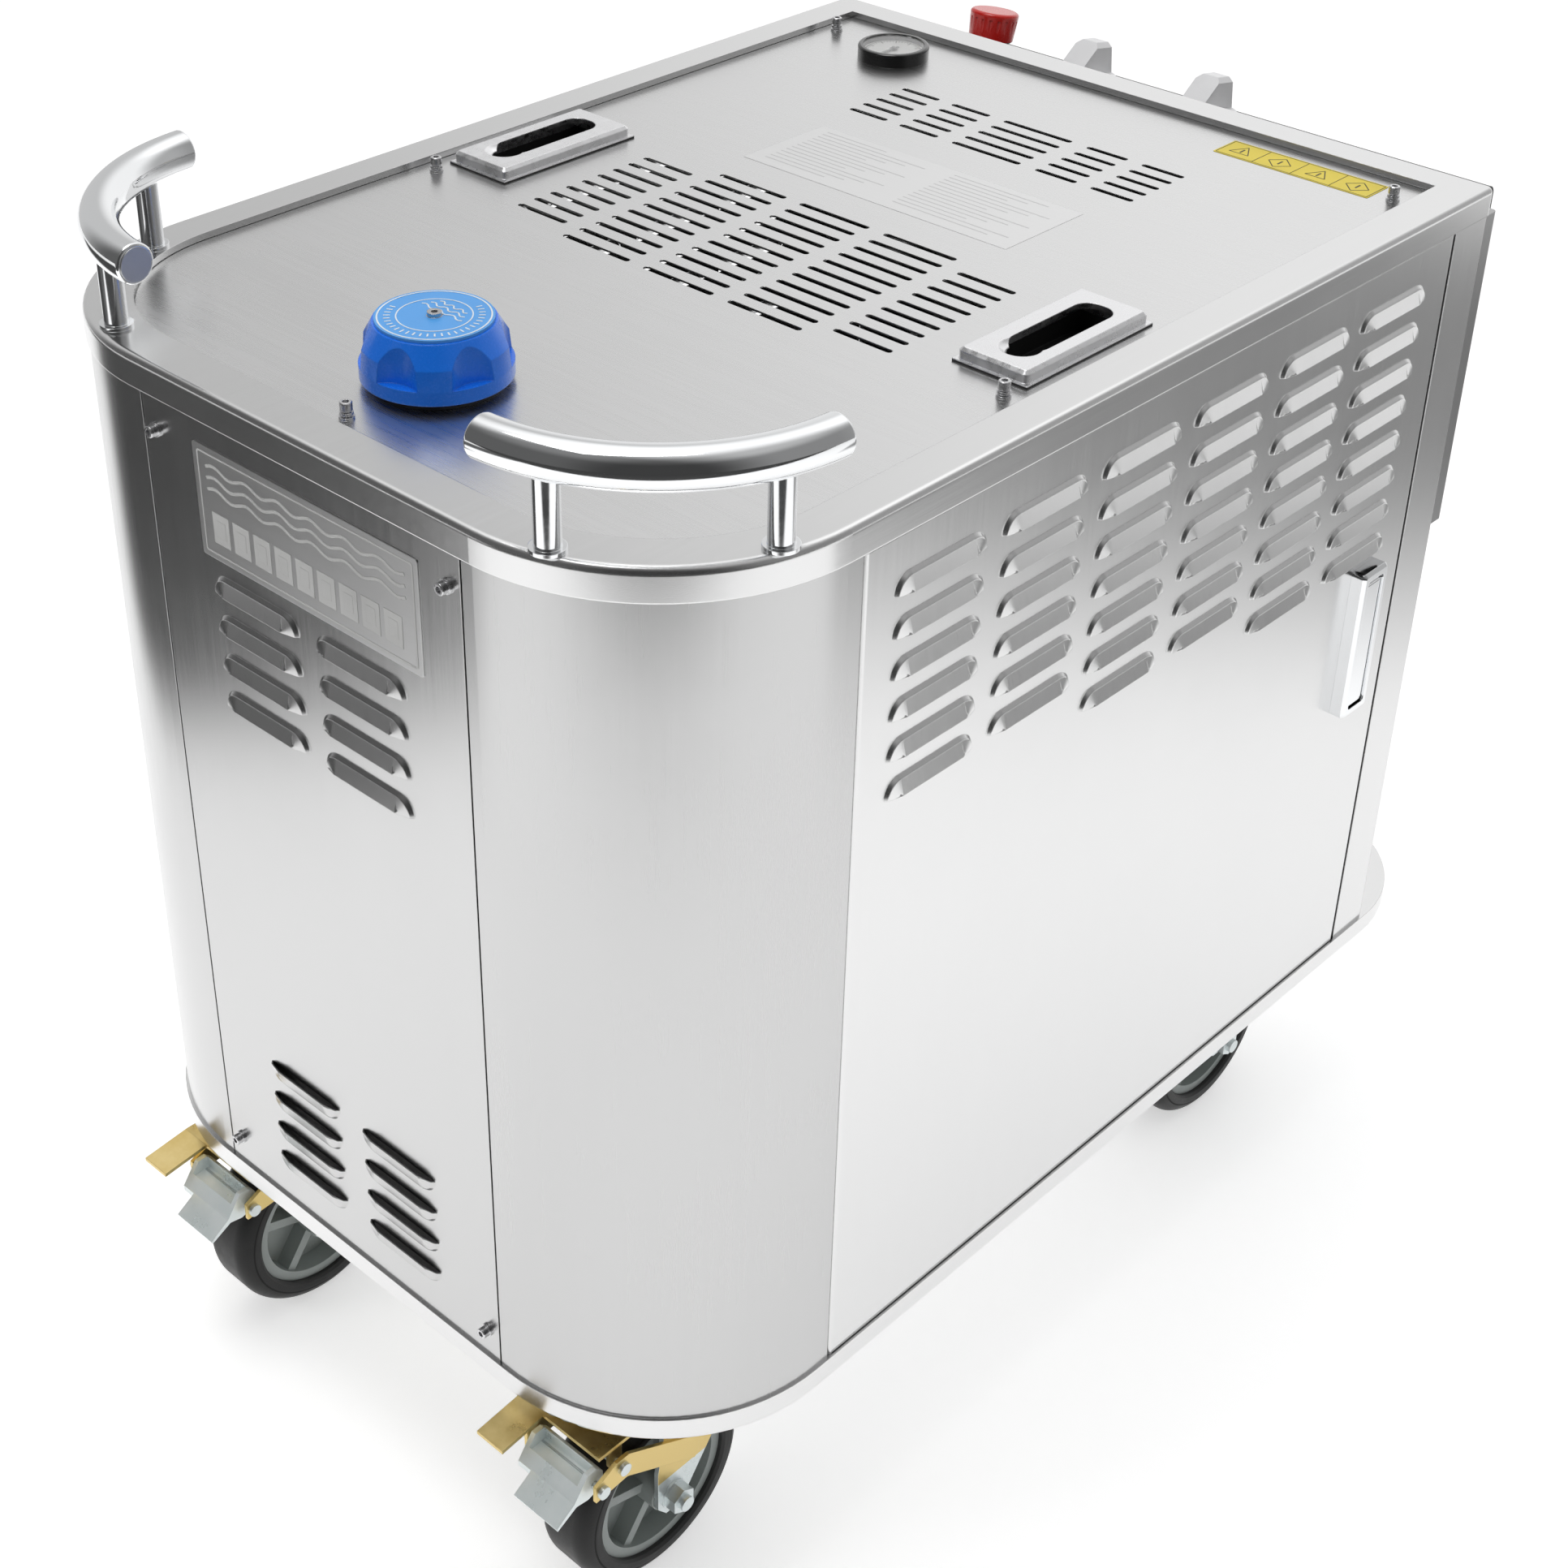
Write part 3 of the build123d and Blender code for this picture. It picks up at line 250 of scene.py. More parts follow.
def plated(name, base, other, rough, edge=0.0006, metal=0.95):
    """Zinc plate: cloudy colour with a fine spangle."""
    shader = Shader(name)
    cloud = shader.noise(28.0, 4.0, 0.65)
    spangle = shader.noise(600.0, 2.0, 0.5)
    shader.set(Base_Color=shader.mix(shader.ramp(cloud, 0.0, 1.0, 0.3, 0.7), tint(base), tint(other)),
               Metallic=metal,
               Roughness=shader.ramp(cloud, rough * 0.75, rough * 1.35, 0.3, 0.7))
    return shader.bump(spangle, 0.12, 0.00015, edge)


def moulded(name, base, rough, grain=900.0, strength=0.15, edge=0.0006, coat=0.0, metal=0.0):
    """Moulded plastic or paint with a fine grain and slight colour drift."""
    shader = Shader(name)
    drift = shader.noise(20.0, 3.0, 0.5)
    texture = shader.noise(grain, 2.0, 0.5)
    dark = tuple(channel * 0.88 for channel in base)
    shader.set(Base_Color=shader.mix(shader.ramp(drift, 0.0, 1.0, 0.3, 0.7), tint(dark), tint(base)),
               Metallic=metal,
               Roughness=shader.ramp(texture, rough * 0.85, rough * 1.15, 0.3, 0.7),
               Coat_Weight=coat)
    return shader.bump(texture, strength, 0.0002, edge)


def rubber(name, base, rough):
    """Rubber with pale dust in places."""
    shader = Shader(name)
    dust = shader.noise(45.0, 5.0, 0.7)
    texture = shader.noise(700.0, 3.0, 0.6)
    dusty = tuple(min(1.0, channel + 0.045) for channel in base)
    shader.set(Base_Color=shader.mix(shader.ramp(dust, 0.0, 0.7, 0.45, 0.75), tint(base), tint(dusty)),
               Roughness=shader.ramp(dust, rough - 0.07, rough + 0.12, 0.3, 0.7))
    return shader.bump(texture, 0.25, 0.0002, 0.0008)


def clear(name):
    """Clear glass with a faint film."""
    shader = Shader(name)
    film = shader.noise(90.0, 3.0, 0.5)
    shader.set(Base_Color=grey(0.98), Roughness=shader.ramp(film, 0.0, 0.05, 0.4, 0.7),
               Transmission_Weight=1.0, IOR=1.45)
    return shader


def paint_node(name, shader):
    item = nodes[name]
    item.data.materials.clear()
    item.data.materials.append(shader.material)


def own(name, point):
    """A row-frame point in the coordinates the node's material sees."""
    return nodes[name].matrix_world.inverted() @ Vector(point)


def pull_finish(name):
    """Cast pull; below the lid its cup is painted black, as painted shade for the dark opening into the
    machine.
    """
    shader = polished("cast_" + name, (0.84, 0.84, 0.85), 0.26, 120.0, 0.0012, 0.02)
    depth = own(name, (0, 0, corners("lid_panel")[1].z + PULL_CUP_TOP)).z
    # Painted shade: the cup below the lid is coloured black for the dark opening behind it.
    shader.overlay(shader.math("LESS_THAN", shader.split()[2], depth), (0.006, 0.006, 0.006), 0.0, 0.5)
    paint_node(name, shader)


def fork_finish(end, side):
    """Zinc fork; the brake bracket plates of the front ones are yellow."""
    name = "fork_%s_%s" % (end, side)
    shader = plated("zinc_" + name, (0.66, 0.72, 0.72), (0.78, 0.83, 0.84), 0.30, 0.0006, 0.75)
    if end == "front":
        middle = own(name, (centre("tyre_front_" + side).x, 0, BRACKET_FOOT))
        x, _, z = shader.split()
        reach = shader.math("ABSOLUTE", shader.math("SUBTRACT", x, middle.x))
        plates = shader.between(reach, *BRACKET_REACH)
        plates = shader.product(plates, shader.math("GREATER_THAN", z, middle.z))
        shader.overlay(plates, (0.72, 0.55, 0.22), 0.95, 0.34)
    paint_node(name, shader)


def tyre_finish(end, side):
    """Black rubber with a moulded groove round the sidewall, bumped in and painted darker as painted shade.
    """
    name = "tyre_%s_%s" % (end, side)
    shader = Shader("rubber_" + name)
    _, y, z = shader.split()
    axle = own(name, centre(name))
    away = shader.distance(y, z, (axle.y, axle.z))
    groove = shader.between(away, *TYRE_GROOVE)
    lip = shader.between(away, 0.0, TYRE_LIP)
    dust = shader.noise(45.0, 5.0, 0.7)
    texture = shader.noise(700.0, 3.0, 0.6)
    shader.set(Base_Color=shader.mix(shader.ramp(dust, 0.0, 0.6, 0.5, 0.8), grey(0.006), grey(0.022)),
               Roughness=shader.ramp(dust, 0.36, 0.52, 0.3, 0.7), Specular_IOR_Level=0.3)
    # Painted shade: the groove is coloured darker than the rubber, for the shade inside it.
    shader.overlay(groove, (0.002, 0.002, 0.002), 0.0, 0.7)
    shader.overlay(lip, (0.03, 0.03, 0.03), 0.0, 0.5)
    height = shader.math("SUBTRACT", shader.product(texture, 0.3), groove)
    shader.bump(height, 0.5, 0.0004, 0.0008)
    paint_node(name, shader)


def lever_finish(side):
    """Plated levers with plain raised bars pressed into the tab and the flap."""
    yellow = plated("yellow_" + side, (0.62, 0.45, 0.16), (0.80, 0.64, 0.30), 0.32)
    zinc = plated("zinc_flap_" + side, (0.80, 0.88, 0.88), (0.90, 0.95, 0.95), 0.32, 0.0006, 0.35)
    for kind, shader, axis in (("lock", yellow, 1), ("release", zinc, 2)):
        name = "%s_lever_front_%s" % (kind, side)
        low, high = corners(name)
        edge = own(name, low)[axis]
        places = shader.split()
        band = shader.between(places[axis], edge + LEVER_BAR_BAND[0], edge + LEVER_BAR_BAND[1])
        across = shader.math("SUBTRACT", places[0], own(name, (low + high) / 2).x)
        bars = 0.0
        for index in (-1, 0, 1):
            left = LEVER_BAR_PITCH * index - LEVER_BAR_WIDTH / 2
            bars = shader.math("ADD", bars, shader.between(across, left, left + LEVER_BAR_WIDTH))
        shader.bump(shader.product(bars, band), 1.0, 0.0008, 0.0006)
        paint_node(name, shader)


def door_finish(side):
    """Brushed skin; the folded edges behind it are painted dark and dull as painted shade, so the door gaps
    read dark.
    """
    name = "door_" + side
    shader = brushed("stainless_" + name, 2, 0.75, 0.22)
    low, high = corners("corner_panel_" + side)
    skin = high.x if side == "right" else low.x
    fold = own(name, (skin, 0, 0)).x - math.copysign(DOOR_SKIN, skin)
    test = "LESS_THAN" if side == "right" else "GREATER_THAN"
    # Painted shade: the folded edges behind the skin are coloured near black so the gaps around the door
    # read dark.
    shader.overlay(shader.math(test, shader.split()[0], fold), (0.10, 0.10, 0.10), 0.6, 0.6)
    paint_node(name, shader)


def disc_finish():
    """Light blue disc held by a steel hexagon socket screw."""
    shader = moulded("label_blue", (0.085, 0.37, 0.84), 0.35)
    x, y, _ = shader.split()
    away = shader.distance(x, y, own("cap_disc", centre("cap_disc")))
    shader.overlay(shader.math("LESS_THAN", away, DISC_SCREW_RADIUS), (0.55, 0.55, 0.56), 1.0, 0.25)
    paint_node("cap_disc", shader)


def materials():
    body = brushed("stainless_body", 2, 0.75, 0.22)
    # Painted shade: the front, corner and pan steels are darker copies of the body's brushed steel, standing
    # in for shade on those panels.
    front = brushed("stainless_front_painted_shade", 2, 0.60, 0.22)
    corner = brushed("stainless_corner_painted_shade", 2, 0.58, 0.25)
    pan = brushed("stainless_pan_painted_shade", 2, 0.42, 0.30)
    lid = brushed("stainless_lid", 0, 0.74, 0.27)
    rim = brushed("stainless_rim", 1, 0.76, 0.20)
    base = brushed("stainless_base", 1, 0.78, 0.24)
    chrome = polished("chrome", (0.84, 0.85, 0.86), 0.06)
    steel = polished("turned_steel", (0.66, 0.66, 0.67), 0.22, 400.0)
    zinc = plated("zinc", (0.68, 0.75, 0.75), (0.80, 0.85, 0.86), 0.32, 0.0006, 0.55)
    hub = moulded("hub_grey", (0.30, 0.33, 0.32), 0.42)
    gasket = rubber("tyre_rubber", (0.018, 0.018, 0.020), 0.42)
    blue = moulded("cap_blue", (0.010, 0.19, 0.88), 0.26, 500.0, 0.05, 0.0012, 0.3)
    black = moulded("black_plastic", (0.012, 0.012, 0.013), 0.35)
    gloss_black = moulded("gloss_black", (0.006, 0.006, 0.006), 0.08, 300.0, 0.02, 0.0006, 0.6)
    red = moulded("stop_red", (0.62, 0.012, 0.008), 0.25, 500.0, 0.06, 0.001, 0.3)
    teal = moulded("stop_teal", (0.02, 0.26, 0.22), 0.4)
    knob = moulded("knob_grey", (0.80, 0.80, 0.81), 0.36)
    brass = polished("brass", (0.72, 0.53, 0.25), 0.22, 200.0)
    lever_red = moulded("lever_red", (0.5, 0.02, 0.015), 0.35)
    frame_grey = moulded("frame_grey", (0.06, 0.065, 0.07), 0.45)
    wrap = plated("boiler_wrap", (0.42, 0.42, 0.42), (0.6, 0.6, 0.6), 0.35)
    tank = moulded("tank_white", (0.6, 0.61, 0.58), 0.5)
    pump = moulded("pump_grey", (0.05, 0.06, 0.08), 0.4, 250.0, 0.5)
    box = moulded("board_box", (0.45, 0.45, 0.43), 0.45)
    lens = clear("lens")
    groups = {
        body: ("rear_posts", "rear_panel"),
        # The darker front, corner and pan steels below are painted shade.
        front: ("front_panel", "corner_panel_left"),
        corner: ("corner_panel_right",),
        pan: ("rear_pan",),
        lid: ("lid_panel",),
        rim: ("top_rim",),
        base: ("base_tray",),
        chrome: ("corner_handle_left", "corner_handle_right", "latch_plate_left", "latch_plate_right",
                 "latch_lever_left", "latch_lever_right"),
        steel: ("cover_screws", "door_hinges"),
        zinc: ("caster_plates",),
        hub: ("hub_front_left", "hub_front_right", "hub_rear_left", "hub_rear_right"),
        gasket: ("cap_gasket",),
        blue: ("cap_shell",),
        black: ("filler_neck", "power_inlet", "control_console", "estop_plunger"),
        gloss_black: ("gauge_case", "gauge_needle"),
        red: ("estop_head",),
        teal: ("estop_collar",),
        knob: ("selector_knob_1", "selector_knob_2"),
        brass: ("steam_outlets", "drain_valve"),
        lever_red: ("drain_lever",),
        frame_grey: ("inner_frame",),
        wrap: ("boiler",),
        tank: ("water_tank",),
        pump: ("pump_unit",),
        box: ("control_board",),
        lens: ("gauge_lens",),
    }
    for shader, names in groups.items():
        for name in names:
            paint_node(name, shader)
    for side in ("left", "right"):
        pull_finish("lid_pull_" + side)
        door_finish(side)
        lever_finish(side)
        for end in ("front", "rear"):
            fork_finish(end, side)
            tyre_finish(end, side)
    disc_finish()


# --- studio ---

def camera():
    """The photo's camera, aimed by its azimuth, pitch and roll."""
    yaw = math.radians(CAMERA_AZIMUTH)
    pitch = math.radians(CAMERA_PITCH)
    roll = math.radians(CAMERA_ROLL)
    back = Vector((math.sin(yaw) * math.cos(pitch), -math.cos(yaw) * math.cos(pitch), math.sin(pitch)))
    right = Vector((math.cos(yaw), math.sin(yaw), 0.0))
    up = back.cross(right)
    right, up = (math.cos(roll) * right + math.sin(roll) * up, math.cos(roll) * up - math.sin(roll) * right)
    data = bpy.data.cameras.new("camera")
    data.lens = CAMERA_LENS
    data.sensor_width = 36.0
    data.shift_x, data.shift_y = CAMERA_SHIFT
    item = bpy.data.objects.new("camera", data)
    bpy.context.collection.objects.link(item)
    item.matrix_world = Matrix.Translation(CAMERA_PLACE) @ Matrix((right, up, back)).transposed().to_4x4()
    bpy.context.scene.camera = item


def fade(shader, direction, low, high):
    """0 below low and 1 above high, measured along a direction on the floor."""
    dot = shader.tree.nodes.new("ShaderNodeVectorMath")
    dot.operation = "DOT_PRODUCT"
    dot.inputs[1].default_value = direction
    shader.link(shader.coords, dot.inputs[0])
    return shader.ramp(dot.outputs["Value"], 0.0, 1.0, low, high)


def floor():
    """Pale paper that turns dark outside the view, where only the steel can see it."""
    outline = [(-FLOOR_SIZE, -FLOOR_SIZE, 0), (FLOOR_SIZE, -FLOOR_SIZE, 0),
               (FLOOR_SIZE, FLOOR_SIZE, 0), (-FLOOR_SIZE, FLOOR_SIZE, 0)]
    mesh = bpy.data.meshes.new("floor")
    mesh.from_pydata(outline, [], [(0, 1, 2, 3)])
    item = bpy.data.objects.new("floor", mesh)
    bpy.context.collection.objects.link(item)
    shader = Shader("floor_paper")
    off_view = shader.inverse(fade(shader, FRONT_RIGHT, 0.46, 0.56))
    near = shader.product(fade(shader, FRONT_LEFT, 1.27, 1.42), fade(shader, FRONT, 0.45, 0.70), off_view)
    far = shader.product(fade(shader, FRONT_LEFT, 1.90, 2.20), fade(shader, FRONT, 0.60, 0.80), 0.95)
    left = shader.product(shader.math("MAXIMUM", near, far),
                          shader.inverse(fade(shader, FRONT_LEFT, 3.6, 4.4)))
    right = shader.product(fade(shader, REAR_RIGHT, 1.15, 1.65), 0.80, off_view,
                           shader.inverse(fade(shader, REAR, 2.2, 2.6)))
    corner = fade(shader, NEAREST_CORNER, 1.85, 2.0)
    dark = shader.math("MAXIMUM", shader.math("MAXIMUM", left, corner), right)
    fibre = shader.noise(300.0, 2.0, 0.5)
    shader.set(Base_Color=shader.mix(dark, grey(FLOOR_TONE), grey(0.05)),
               Roughness=0.8, Specular_IOR_Level=0.1,
               Emission_Color=shader.mix(dark, grey(1.0), grey(0.04)), Emission_Strength=FLOOR_GLOW)
    shader.bump(fibre, 0.05, 0.0002)
    item.data.materials.append(shader.material)


def world():
    """A backdrop that is bright behind the machine and overhead, and darker to its right and in front."""
    scene_world = bpy.data.worlds.new("studio")
    scene_world.use_nodes = True
    tree = scene_world.node_tree
    tree.nodes.clear()
    output = tree.nodes.new("ShaderNodeOutputWorld")
    background = tree.nodes.new("ShaderNodeBackground")
    coords = tree.nodes.new("ShaderNodeTexCoord")
    split = tree.nodes.new("ShaderNodeSeparateXYZ")
    tree.links.new(coords.outputs["Generated"], split.inputs[0])

    def step(source, low, high, at_low, at_high):
        ramp = tree.nodes.new("ShaderNodeMapRange")
        ramp.interpolation_type = "SMOOTHSTEP"
        tree.links.new(source, ramp.inputs["Value"])
        ramp.inputs["From Min"].default_value = low
        ramp.inputs["From Max"].default_value = high
        ramp.inputs["To Min"].default_value = at_low
        ramp.inputs["To Max"].default_value = at_high
        return ramp.outputs["Result"]

    def times(first, second):
        node = tree.nodes.new("ShaderNodeMath")
        node.operation = "MULTIPLY"
        tree.links.new(first, node.inputs[0])
        tree.links.new(second, node.inputs[1])
        return node.outputs[0]

    behind = step(split.outputs["Y"], 0.50, 0.82, 0.60, 1.02)
    beside = step(split.outputs["X"], 0.0, 0.45, 1.0, 0.45)
    before = step(split.outputs["Y"], -0.45, 0.10, 0.20, 1.0)
    above = step(split.outputs["Z"], 0.55, 0.85, 1.0, 2.0)
    strength = times(times(times(behind, beside), before), above)
    tree.links.new(strength, background.inputs["Strength"])
    background.inputs["Color"].default_value = (1.0, 1.0, 1.0, 1.0)
    tree.links.new(background.outputs[0], output.inputs["Surface"])
    bpy.context.scene.world = scene_world


def softbox(name, place, target, width, height, power, mirrored=True):
    """A rectangular light aimed at a target, which polished steel may or may not mirror."""
    data = bpy.data.lights.new(name, "AREA")
    data.shape = "RECTANGLE"
    data.size = width
    data.size_y = height
    data.energy = power
    item = bpy.data.objects.new(name, data)
    bpy.context.collection.objects.link(item)
    item.location = place
    item.rotation_mode = "QUATERNION"
    item.rotation_quaternion = (Vector(target) - Vector(place)).to_track_quat("-Z", "Y")
    item.visible_glossy = mirrored


def lights():
    softbox("top_softbox", (-0.3, -0.6, 3.6), (0, 0, 0.4), 1.6, 1.6, 30)
    softbox("front_softbox", (-1.4, -3.2, 2.6), (0, -0.3, 0.4), 1.2, 1.2, 18, mirrored=False)
    softbox("side_softbox", (3.0, -1.6, 2.4), (0.2, 0, 0.4), 1.2, 1.2, 14, mirrored=False)


def colour_management():
    view = bpy.context.scene.view_settings
    view.view_transform = "Standard"
    view.look = "None"
    view.exposure = 0.0
    view.gamma = 1.0


# --- mesh helpers ---

def add_piece(name, build, shader, body="chassis"):
    """Makes one mesh, smooth but for its sharp edges, and rides it on a body."""
    shape = bmesh.new()
    build(shape)
    bmesh.ops.recalc_face_normals(shape, faces=shape.faces)
    mesh = bpy.data.meshes.new(name)
    shape.to_mesh(mesh)
    shape.free()
    item = bpy.data.objects.new(name, mesh)
    bpy.context.collection.objects.link(item)
    mesh.materials.append(shader.material)
    for polygon in mesh.polygons:
        polygon.use_smooth = True
    mesh.set_sharp_from_angle(angle=math.radians(SMOOTH_ANGLE))
    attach(item, body)


def polar(radius, degrees):
    angle = math.radians(degrees)
    return Vector((radius * math.cos(angle), radius * math.sin(angle)))


def ring(shape, inner, outer, low, high, matrix, steps=96):
    """A flat ring about the matrix's Z axis."""
    profile = [(inner, low), (outer, low), (outer, high), (inner, high)]
    turns = []
    for step in range(steps):
        turn = matrix @ Matrix.Rotation(2 * math.pi * step / steps, 4, "Z")
        turns.append([shape.verts.new(turn @ Vector((radius, 0, height))) for radius, height in profile])
    for step in range(steps):
        here, following = turns[step], turns[(step + 1) % steps]
        for index in range(len(profile)):
            after = (index + 1) % len(profile)
            shape.faces.new((here[index], here[after], following[after], following[index]))


def circle(radius, steps=64):
    return [(radius * math.cos(2 * math.pi * step / steps), radius * math.sin(2 * math.pi * step / steps))
            for step in range(steps)]


def rounded_outline(half_x, half_y, radius, steps=6):
    points = []
    for side_x, side_y, start in ((1, 1, 0), (-1, 1, 90), (-1, -1, 180), (1, -1, 270)):
        for step in range(steps + 1):
            angle = math.radians(start + 90 * step / steps)
            points.append((side_x * (half_x - radius) + radius * math.cos(angle),
                           side_y * (half_y - radius) + radius * math.sin(angle)))
    return points


def plate(shape, outline, low, high, matrix):
    """A flat plate with the outline given in the matrix's XY plane."""
    lower = [shape.verts.new(matrix @ Vector((x, y, low))) for x, y in outline]
    upper = [shape.verts.new(matrix @ Vector((x, y, high))) for x, y in outline]
    shape.faces.new(lower[::-1])
    shape.faces.new(upper)
    for index in range(len(outline)):
        after = (index + 1) % len(outline)
        shape.faces.new((lower[index], lower[after], upper[after], upper[index]))


def bar(shape, start, end, width, low, high, matrix):
    """A flat bar from start to end in the matrix's XY plane."""
    start, end = Vector(start), Vector(end)
    along = (end - start).normalized()
    side = Vector((-along.y, along.x)) * width / 2
    plate(shape, [start - side, end - side, end + side, start + side], low, high, matrix)


def chain(shape, points, width, low, high, matrix):
    """Flat bars from each point to the next."""
    for first, second in zip(points, points[1:]):
        bar(shape, first, second, width, low, high, matrix)


def border(shape, outer, inner, low, high, matrix):
    """A flat border between two outlines with the same number of points."""
    loops = []
    for outline, height in ((outer, low), (outer, high), (inner, high), (inner, low)):
        loops.append([shape.verts.new(matrix @ Vector((x, y, height))) for x, y in outline])
    for first, second in zip(loops, loops[1:] + loops[:1]):
        for index in range(len(outer)):
            after = (index + 1) % len(outer)
            shape.faces.new((first[index], first[after], second[after], second[index]))


# --- pressure gauge ---

def gauge():
    """White dial with a scale of ticks and a red zone, under the CAD needle."""
    divisions, start, sweep = 40, 225, 270
    zone_start, zone_step, zone_bars = -45, 4.0, 10
    clearance, below_needle, thick = 0.0004, 0.0009, 0.0004
    tick_top, zone_top = 0.00012, 0.0002
    low, high = corners("gauge_lens")
    radius = (high.x - low.x) / 2 - clearance
    dial_z = corners("gauge_needle")[0].z - below_needle
    place = Matrix.Translation(((low.x + high.x) / 2, (low.y + high.y) / 2, dial_z))

    def dial(shape):
        plate(shape, circle(radius), -thick, 0.0, place)

    def marks(shape):
        for step in range(divisions + 1):
            major = step % 5 == 0
            degrees = start - sweep * step / divisions
            inner = polar(radius * (0.74 if major else 0.82), degrees)
            width = 0.0009 if major else 0.0004
            bar(shape, inner, polar(radius * 0.92, degrees), width, 0.0, tick_top, place)
        ring(shape, radius * 0.92, radius * 0.94, 0.0, tick_top, place)

    def zone(shape):
        points = [polar(radius * 0.86, zone_start + zone_step * step) for step in range(zone_bars + 1)]
        chain(shape, points, 0.0014, tick_top, zone_top, place)

    add_piece("gauge_dial", dial, moulded("dial_white", (0.86, 0.86, 0.84), 0.4))
    add_piece("gauge_marks", marks, moulded("dial_ink", (0.01, 0.01, 0.01), 0.5))
    add_piece("gauge_zone", zone, moulded("dial_red", (0.7, 0.02, 0.01), 0.4))


# --- filler cap emblem ---

def cap_emblem():
    """Rings, an arc of ticks and waves standing on the cap's disc."""
    low, high = corners("cap_disc")
    middle = (low + high) / 2
    radius = (high.x - low.x) / 2
    disc_above_shell, sunk = 0.002, 0.00005
    thick, line = 0.00025, 0.0011
    ticks, start, sweep = 28, 200, 230
    wave_rows, wave_points, wave_length = 3, 17, 5.34
    top = corners("cap_shell")[1].z + disc_above_shell
    place = Matrix.Translation((middle.x, middle.y, top - sunk))
    white = moulded("emblem_white", (0.80, 0.88, 0.95), 0.4)

    def rings(shape):
        ring(shape, radius * 0.93, radius * 0.96, 0.0, thick, place)
        ring(shape, radius * 0.62, radius * 0.645, 0.0, thick, place)
        for step in range(ticks):
            degrees = start + sweep * step / (ticks - 1)
            bar(shape, polar(radius * 0.73, degrees), polar(radius * 0.84, degrees), line, 0.0, thick, place)

    def waves(shape):
        for row in range(wave_rows):
            y = radius * (0.16 + 0.13 * row)
            half = radius * (0.50 - 0.08 * row)
            points = []
            for step in range(wave_points):
                rise = radius * 0.04 * math.sin(2 * math.pi * step / wave_length)
                points.append((half * (2 * step / (wave_points - 1) - 1), y + rise))
            chain(shape, points, line, 0.0, thick, place)

    add_piece("cap_rings", rings, white, "cap")
    add_piece("cap_waves", waves, white, "cap")


# --- labels on the lid and the front ---

def label_strip():
    """Yellow strip of four cells, with a plain outline and a stroke in each."""
    length, width, from_rear = 0.132, 0.030, 0.060
    cells, symbol, symbol_y = 4, 0.0095, -0.001
    low, high = 0.0002, 0.00032
    place = Matrix.Translation((0.184, corners("top_rim")[1].y - from_rear, corners("lid_panel")[1].z))

    def base(shape):
        plate(shape, rounded_outline(length / 2, width / 2, 0.001), 0.00005, 0.00025, place)

    def outline_in(shape, x, sides):
        turn = 360 / sides
        for side in range(sides):
            ends = [Vector((x, symbol_y)) + polar(symbol, 90 - turn * (side + step)) for step in (0, 1)]
            bar(shape, ends[0], ends[1], 0.0008, low, high, place)

    def lines(shape):
        outer = rounded_outline(length / 2 - 0.0012, width / 2 - 0.0012, 0.001)
        inner = rounded_outline(length / 2 - 0.0018, width / 2 - 0.0018, 0.0008)
        border(shape, outer, inner, low, high, place)
        reach = width / 2 - 0.0016
        for index in range(1, cells):
            x = (index - cells / 2) * length / cells
            bar(shape, (x, -reach), (x, reach), 0.0006, low, high, place)
        for index in range(cells):
            x = (index - (cells - 1) / 2) * length / cells
            outline_in(shape, x, 3 + index % 2)
            bar(shape, (x, -0.004), (x, 0.003), 0.0014, low, high, place)

    add_piece("label_strip", base, moulded("label_yellow", (0.78, 0.62, 0.03), 0.38, 800.0, 0.05))
    add_piece("label_lines", lines, moulded("label_ink", (0.05, 0.045, 0.02), 0.5))


def etched_plate():
    """A pale etched panel with two columns of fine ruled lines."""
    half_x, half_y, from_front = 0.123, 0.0445, 0.5685
    rows, pitch, margin = 13, 0.0058, 0.0075
    line_length, line_width, shortening = 0.100, 0.0011, 0.014
    place = Matrix.Translation((0.0, corners("top_rim")[0].y + from_front, corners("lid_panel")[1].z))

    def base(shape):
        plate(shape, rounded_outline(half_x, half_y, 0.001), 0.00002, 0.00012, place)

    def lines(shape):
        for column in (-1, 1):
            start = column * half_x / 2 - line_length / 2
            for row in range(rows):
                y = half_y - margin - row * pitch
                end = start + line_length - shortening * ((row * 5 + column) % 4)
                bar(shape, (start, y), (end, y), line_width, 0.0001, 0.00016, place)

    add_piece("etched_plate", base, brushed("etched_steel", 0, 0.78, 0.33))
    add_piece("etched_lines", lines, brushed("etch_mark", 0, 0.66, 0.42))


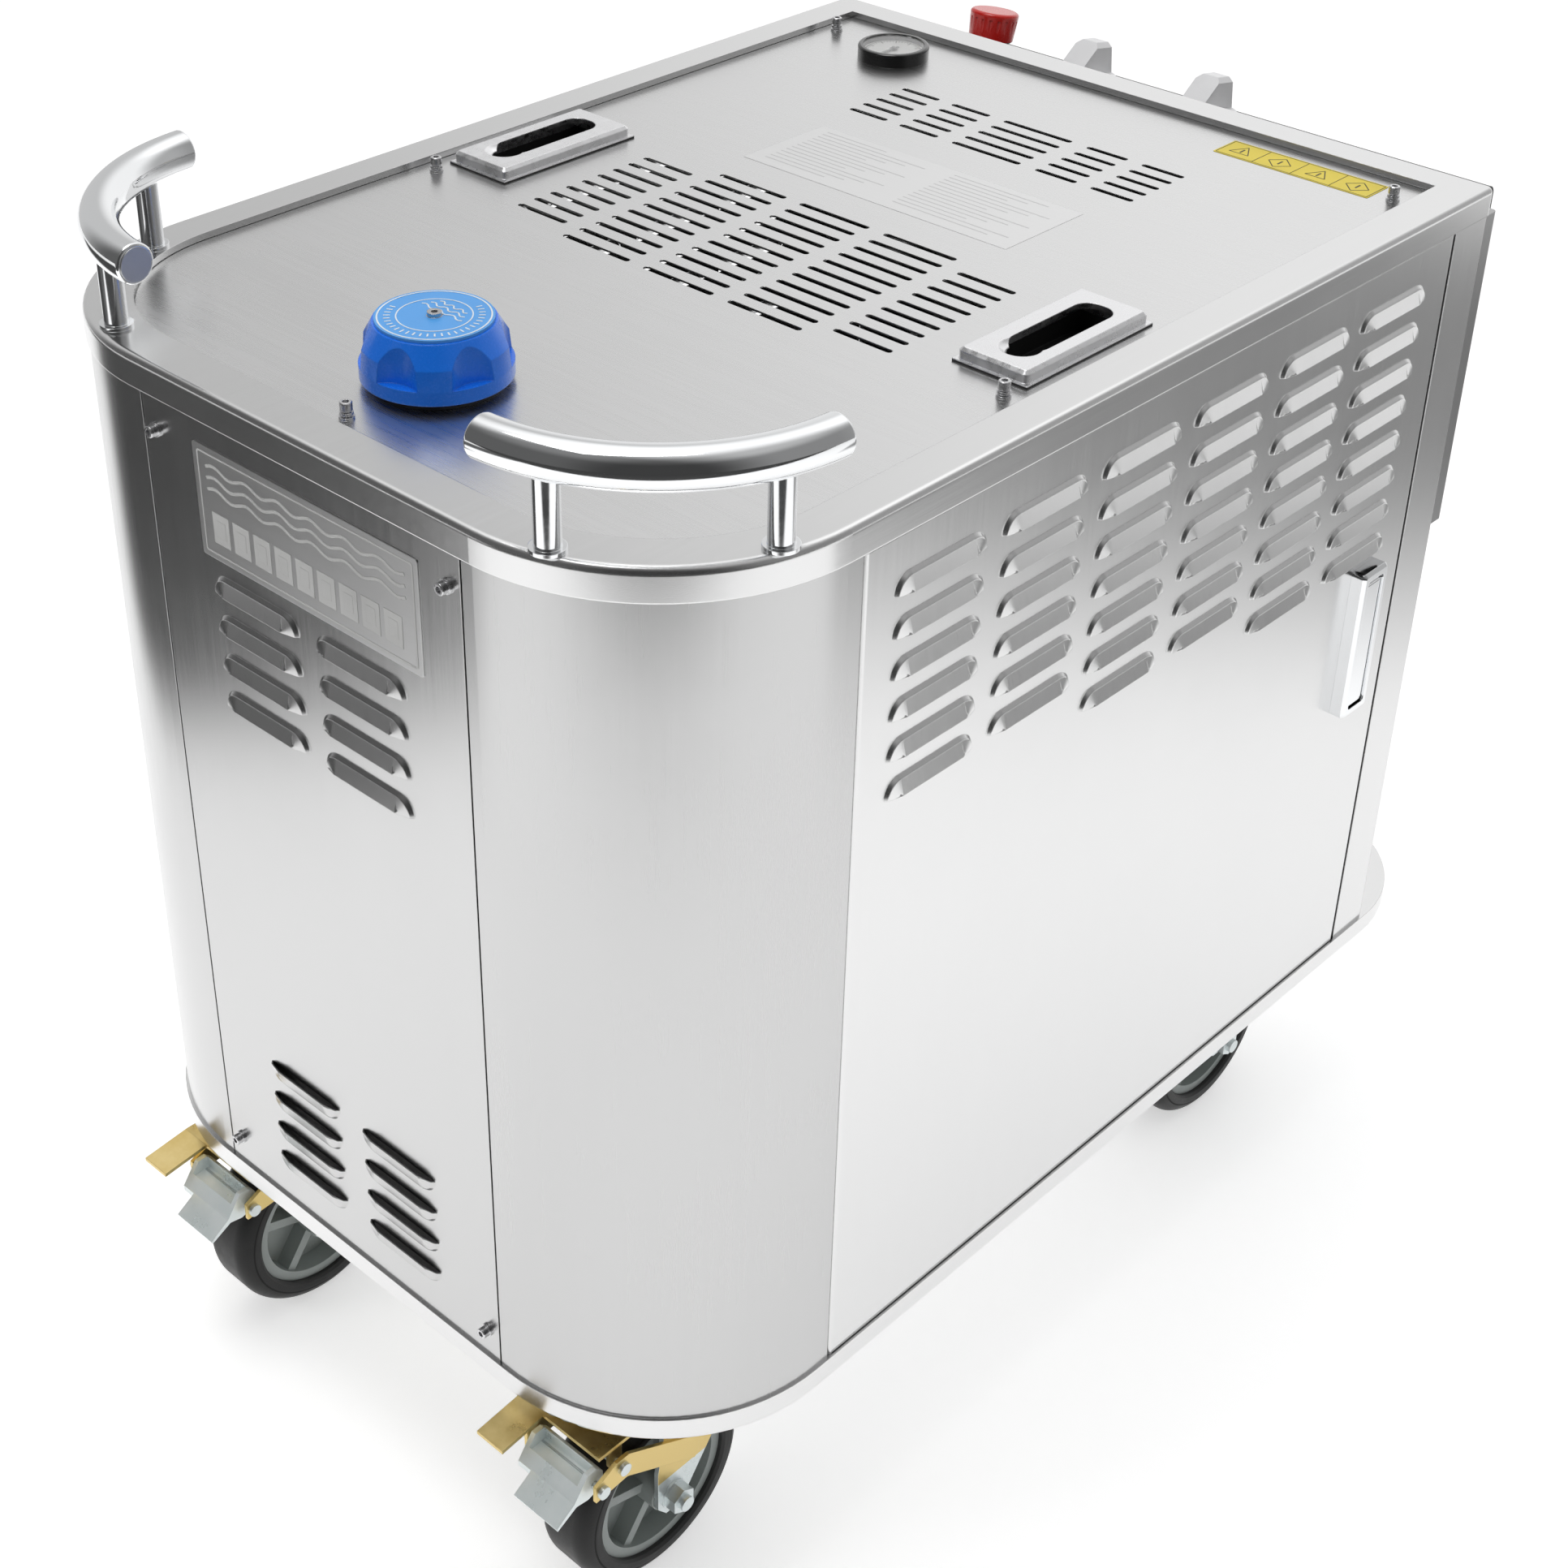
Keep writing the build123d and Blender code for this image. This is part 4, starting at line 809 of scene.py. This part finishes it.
def badge_plate():
    """A brushed badge on the front panel, with a raised border, waves and plain blocks."""
    half_x, half_z, above_base, aside = 0.106, 0.040, 0.586, 0.007
    low, high, block_top = 0.0007, 0.0010, 0.0011
    wave_rows, wave_top, wave_pitch = 3, 0.026, 0.008
    wave_steps, wave_half, wave_rise, wave_width = 48, 0.094, 0.0022, 0.0022
    blocks, block_start, block_pitch, block_y = 9, -0.092, 0.0206, -0.016
    block_length, block_height, inset, inset_height = 0.0165, 0.022, 0.004, 0.012
    skin_y = corners("corner_panel_right")[0].y
    height = corners("base_tray")[1].z + above_base
    place = Matrix.Translation((aside, skin_y, height)) @ Matrix.Rotation(math.radians(90), 4, "X")

    def base(shape):
        plate(shape, rounded_outline(half_x, half_z, 0.002), 0.00005, 0.0008, place)

    def relief(shape):
        outer = rounded_outline(half_x - 0.004, half_z - 0.004, 0.002)
        inner = rounded_outline(half_x - 0.0052, half_z - 0.0052, 0.0015)
        border(shape, outer, inner, low, high, place)
        for row in range(wave_rows):
            y = wave_top - wave_pitch * row
            points = [(wave_half * (2 * step / wave_steps - 1), y + wave_rise * math.sin(step * math.pi / 4))
                      for step in range(wave_steps + 1)]
            chain(shape, points, wave_width, low, high, place)
        for index in range(blocks):
            x = block_start + block_pitch * index
            end = x + block_length
            bar(shape, (x, block_y), (end, block_y), block_height, low, high, place)
            bar(shape, (x + inset, block_y), (end - inset, block_y), inset_height, high, block_top, place)

    add_piece("badge_plate", base, brushed("badge_steel", 0, 0.62, 0.36))
    add_piece("badge_border", relief, moulded("badge_print", (0.70, 0.70, 0.69), 0.55))


# --- plugs in the handle ends ---

def handle_plugs():
    """A dull disc that closes the inner end of each handle tube, just proud of it."""
    tube, wall, proud, thick = 0.0135, 0.0022, 0.0002, 0.002
    for side, sign in (("left", -1), ("right", 1)):
        low, high = corners("corner_handle_" + side)
        inner_x = low.x if sign > 0 else high.x
        turn = Matrix.Rotation(math.radians(-sign * 90), 4, "Y")
        place = Matrix.Translation((inner_x - sign * proud, low.y + tube, high.z - tube)) @ turn

        def plug(shape):
            plate(shape, circle(tube - wall), -thick, 0.0, place)

        add_piece("handle_plug_" + side, plug, brushed("plug_" + side, 0, 0.62, 0.45))


materials()
gauge()
handle_plugs()
cap_emblem()
label_strip()
etched_plate()
badge_plate()
camera()
floor()
world()
lights()
colour_management()
